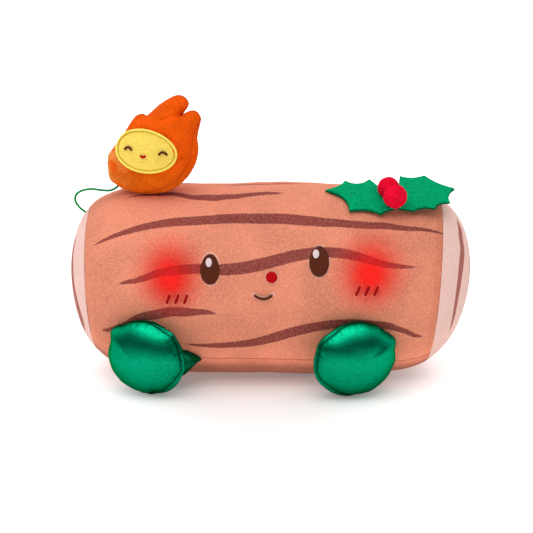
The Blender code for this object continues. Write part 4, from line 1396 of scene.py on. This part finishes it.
floor_mesh = bpy.data.meshes.new("floor")
floor_mesh.from_pydata([(-3, -3, 0), (3, -3, 0), (3, 3, 0), (-3, 3, 0)], [], [(0, 1, 2, 3)])
floor = new_object("floor", floor_mesh)
floor_finish, table, floor_shader = new_finish("white_table", 0.9)
from_toy = from_origin(table, own_place(table))
beside = from_origin(table, own_place(table, (1, 0.5, 1)))
rays = add_node(table, "LightPath").outputs
# Painted reflection and painted light: in reflections the table is dark far off and glows a little away
# from the toy; for cloth and foil it glows as painted bounce light; for the camera it glows more away from
# the toy and beside it, lightening the shadow there.
dim = times(table, rays["Is Glossy Ray"], ramp(table, from_toy, 0.3, 0.5))
pale = blend_colours(table, dim, grey(0.78), grey(0.01))
mirrored = maths(table, "SUBTRACT", rays["Is Glossy Ray"], dim)
near_lift = times(table, mirrored, ramp(table, from_toy, 0.09, 0.2), 0.26)
far_lift = maths(table, "MULTIPLY_ADD", ramp(table, from_toy, 0.25, 0.8), 0.54, 0.18)
beside_lift = times(table, ramp(table, beside, 0.06, 0.14), 0.28)
seen_lift = times(table, rays["Is Camera Ray"], plus(table, far_lift, beside_lift))
bounce = times(table, rays["Is Diffuse Ray"], 0.36)
glow = brighten(table, (1, 1, 1), plus(table, near_lift, bounce, seen_lift))
table.links.new(pale, floor_shader.inputs["Base Color"])
table.links.new(glow, floor_shader.inputs["Emission Color"])
floor_shader.inputs["Emission Strength"].default_value = 1.0
floor_mesh.materials.append(floor_finish)
print(floor_finish.name, len(table.nodes), "nodes")

# %% Lamps
def soft_lamp(name, place, size, power, aim=(0, 0, 0.08), mirrored=True):
    light = bpy.data.lights.new(name, "AREA")
    light.shape = "RECTANGLE"
    light.size, light.size_y = size
    light.energy = power
    lamp = new_object(name, light)
    lamp.location = place
    lamp.rotation_euler = (Vector(aim) - Vector(place)).to_track_quat("-Z", "Y").to_euler()
    lamp.visible_glossy = mirrored
    print(name, power, "W")


soft_lamp("top_lamp", (0, -0.3, 1.6), (2.6, 0.8), 6)
soft_lamp("main_lamp", (-0.3, -1.3, 2.0), (2.2, 1.6), 13)
soft_lamp("front_lamp", (0.1, -2.6, 0.25), (2.6, 0.5), 11, mirrored=False)
soft_lamp("left_lamp", (-1.9, -0.5, 0.9), (1.0, 1.0), 6, mirrored=False)
soft_lamp("right_lamp", (1.9, -0.5, 0.9), (1.0, 1.0), 1, mirrored=False)

# %% Room
world = bpy.data.worlds.new("studio")
world.use_nodes = True
bpy.context.scene.world = world
room = world.node_tree
way = add_node(room, "SeparateXYZ", {0: add_node(room, "TexCoord").outputs["Generated"]}).outputs
bright = maths(room, "MAXIMUM", ramp(room, way["Z"], 0.5, 0.78), ramp(room, way["Y"], -0.2, 0.3))
shade = blend_colours(room, bright, grey(0.02), grey(0.95))
seen = add_node(room, "LightPath").outputs["Is Camera Ray"]
room.links.new(blend_colours(room, seen, shade, grey(1.1)), room.nodes["Background"].inputs["Color"])
bpy.context.scene.view_settings.view_transform = "Standard"
print(world.name, len(room.nodes), "nodes")

# %% Camera
lens = bpy.data.cameras.new("camera")
lens.lens, lens.sensor_width = 89.8, 36
lens.shift_x, lens.shift_y = 0.0012, 0.0216
camera = new_object("camera", lens)
camera.location = (0.0283, -0.9777, 0.2769)
aim = Vector((0, 0, AXIS_HEIGHT)) - camera.location
camera.rotation_euler = aim.to_track_quat("-Z", "Y").to_euler()
bpy.context.scene.camera = camera
print("camera", round(camera.location.length, 2), "m from the toy's foot")
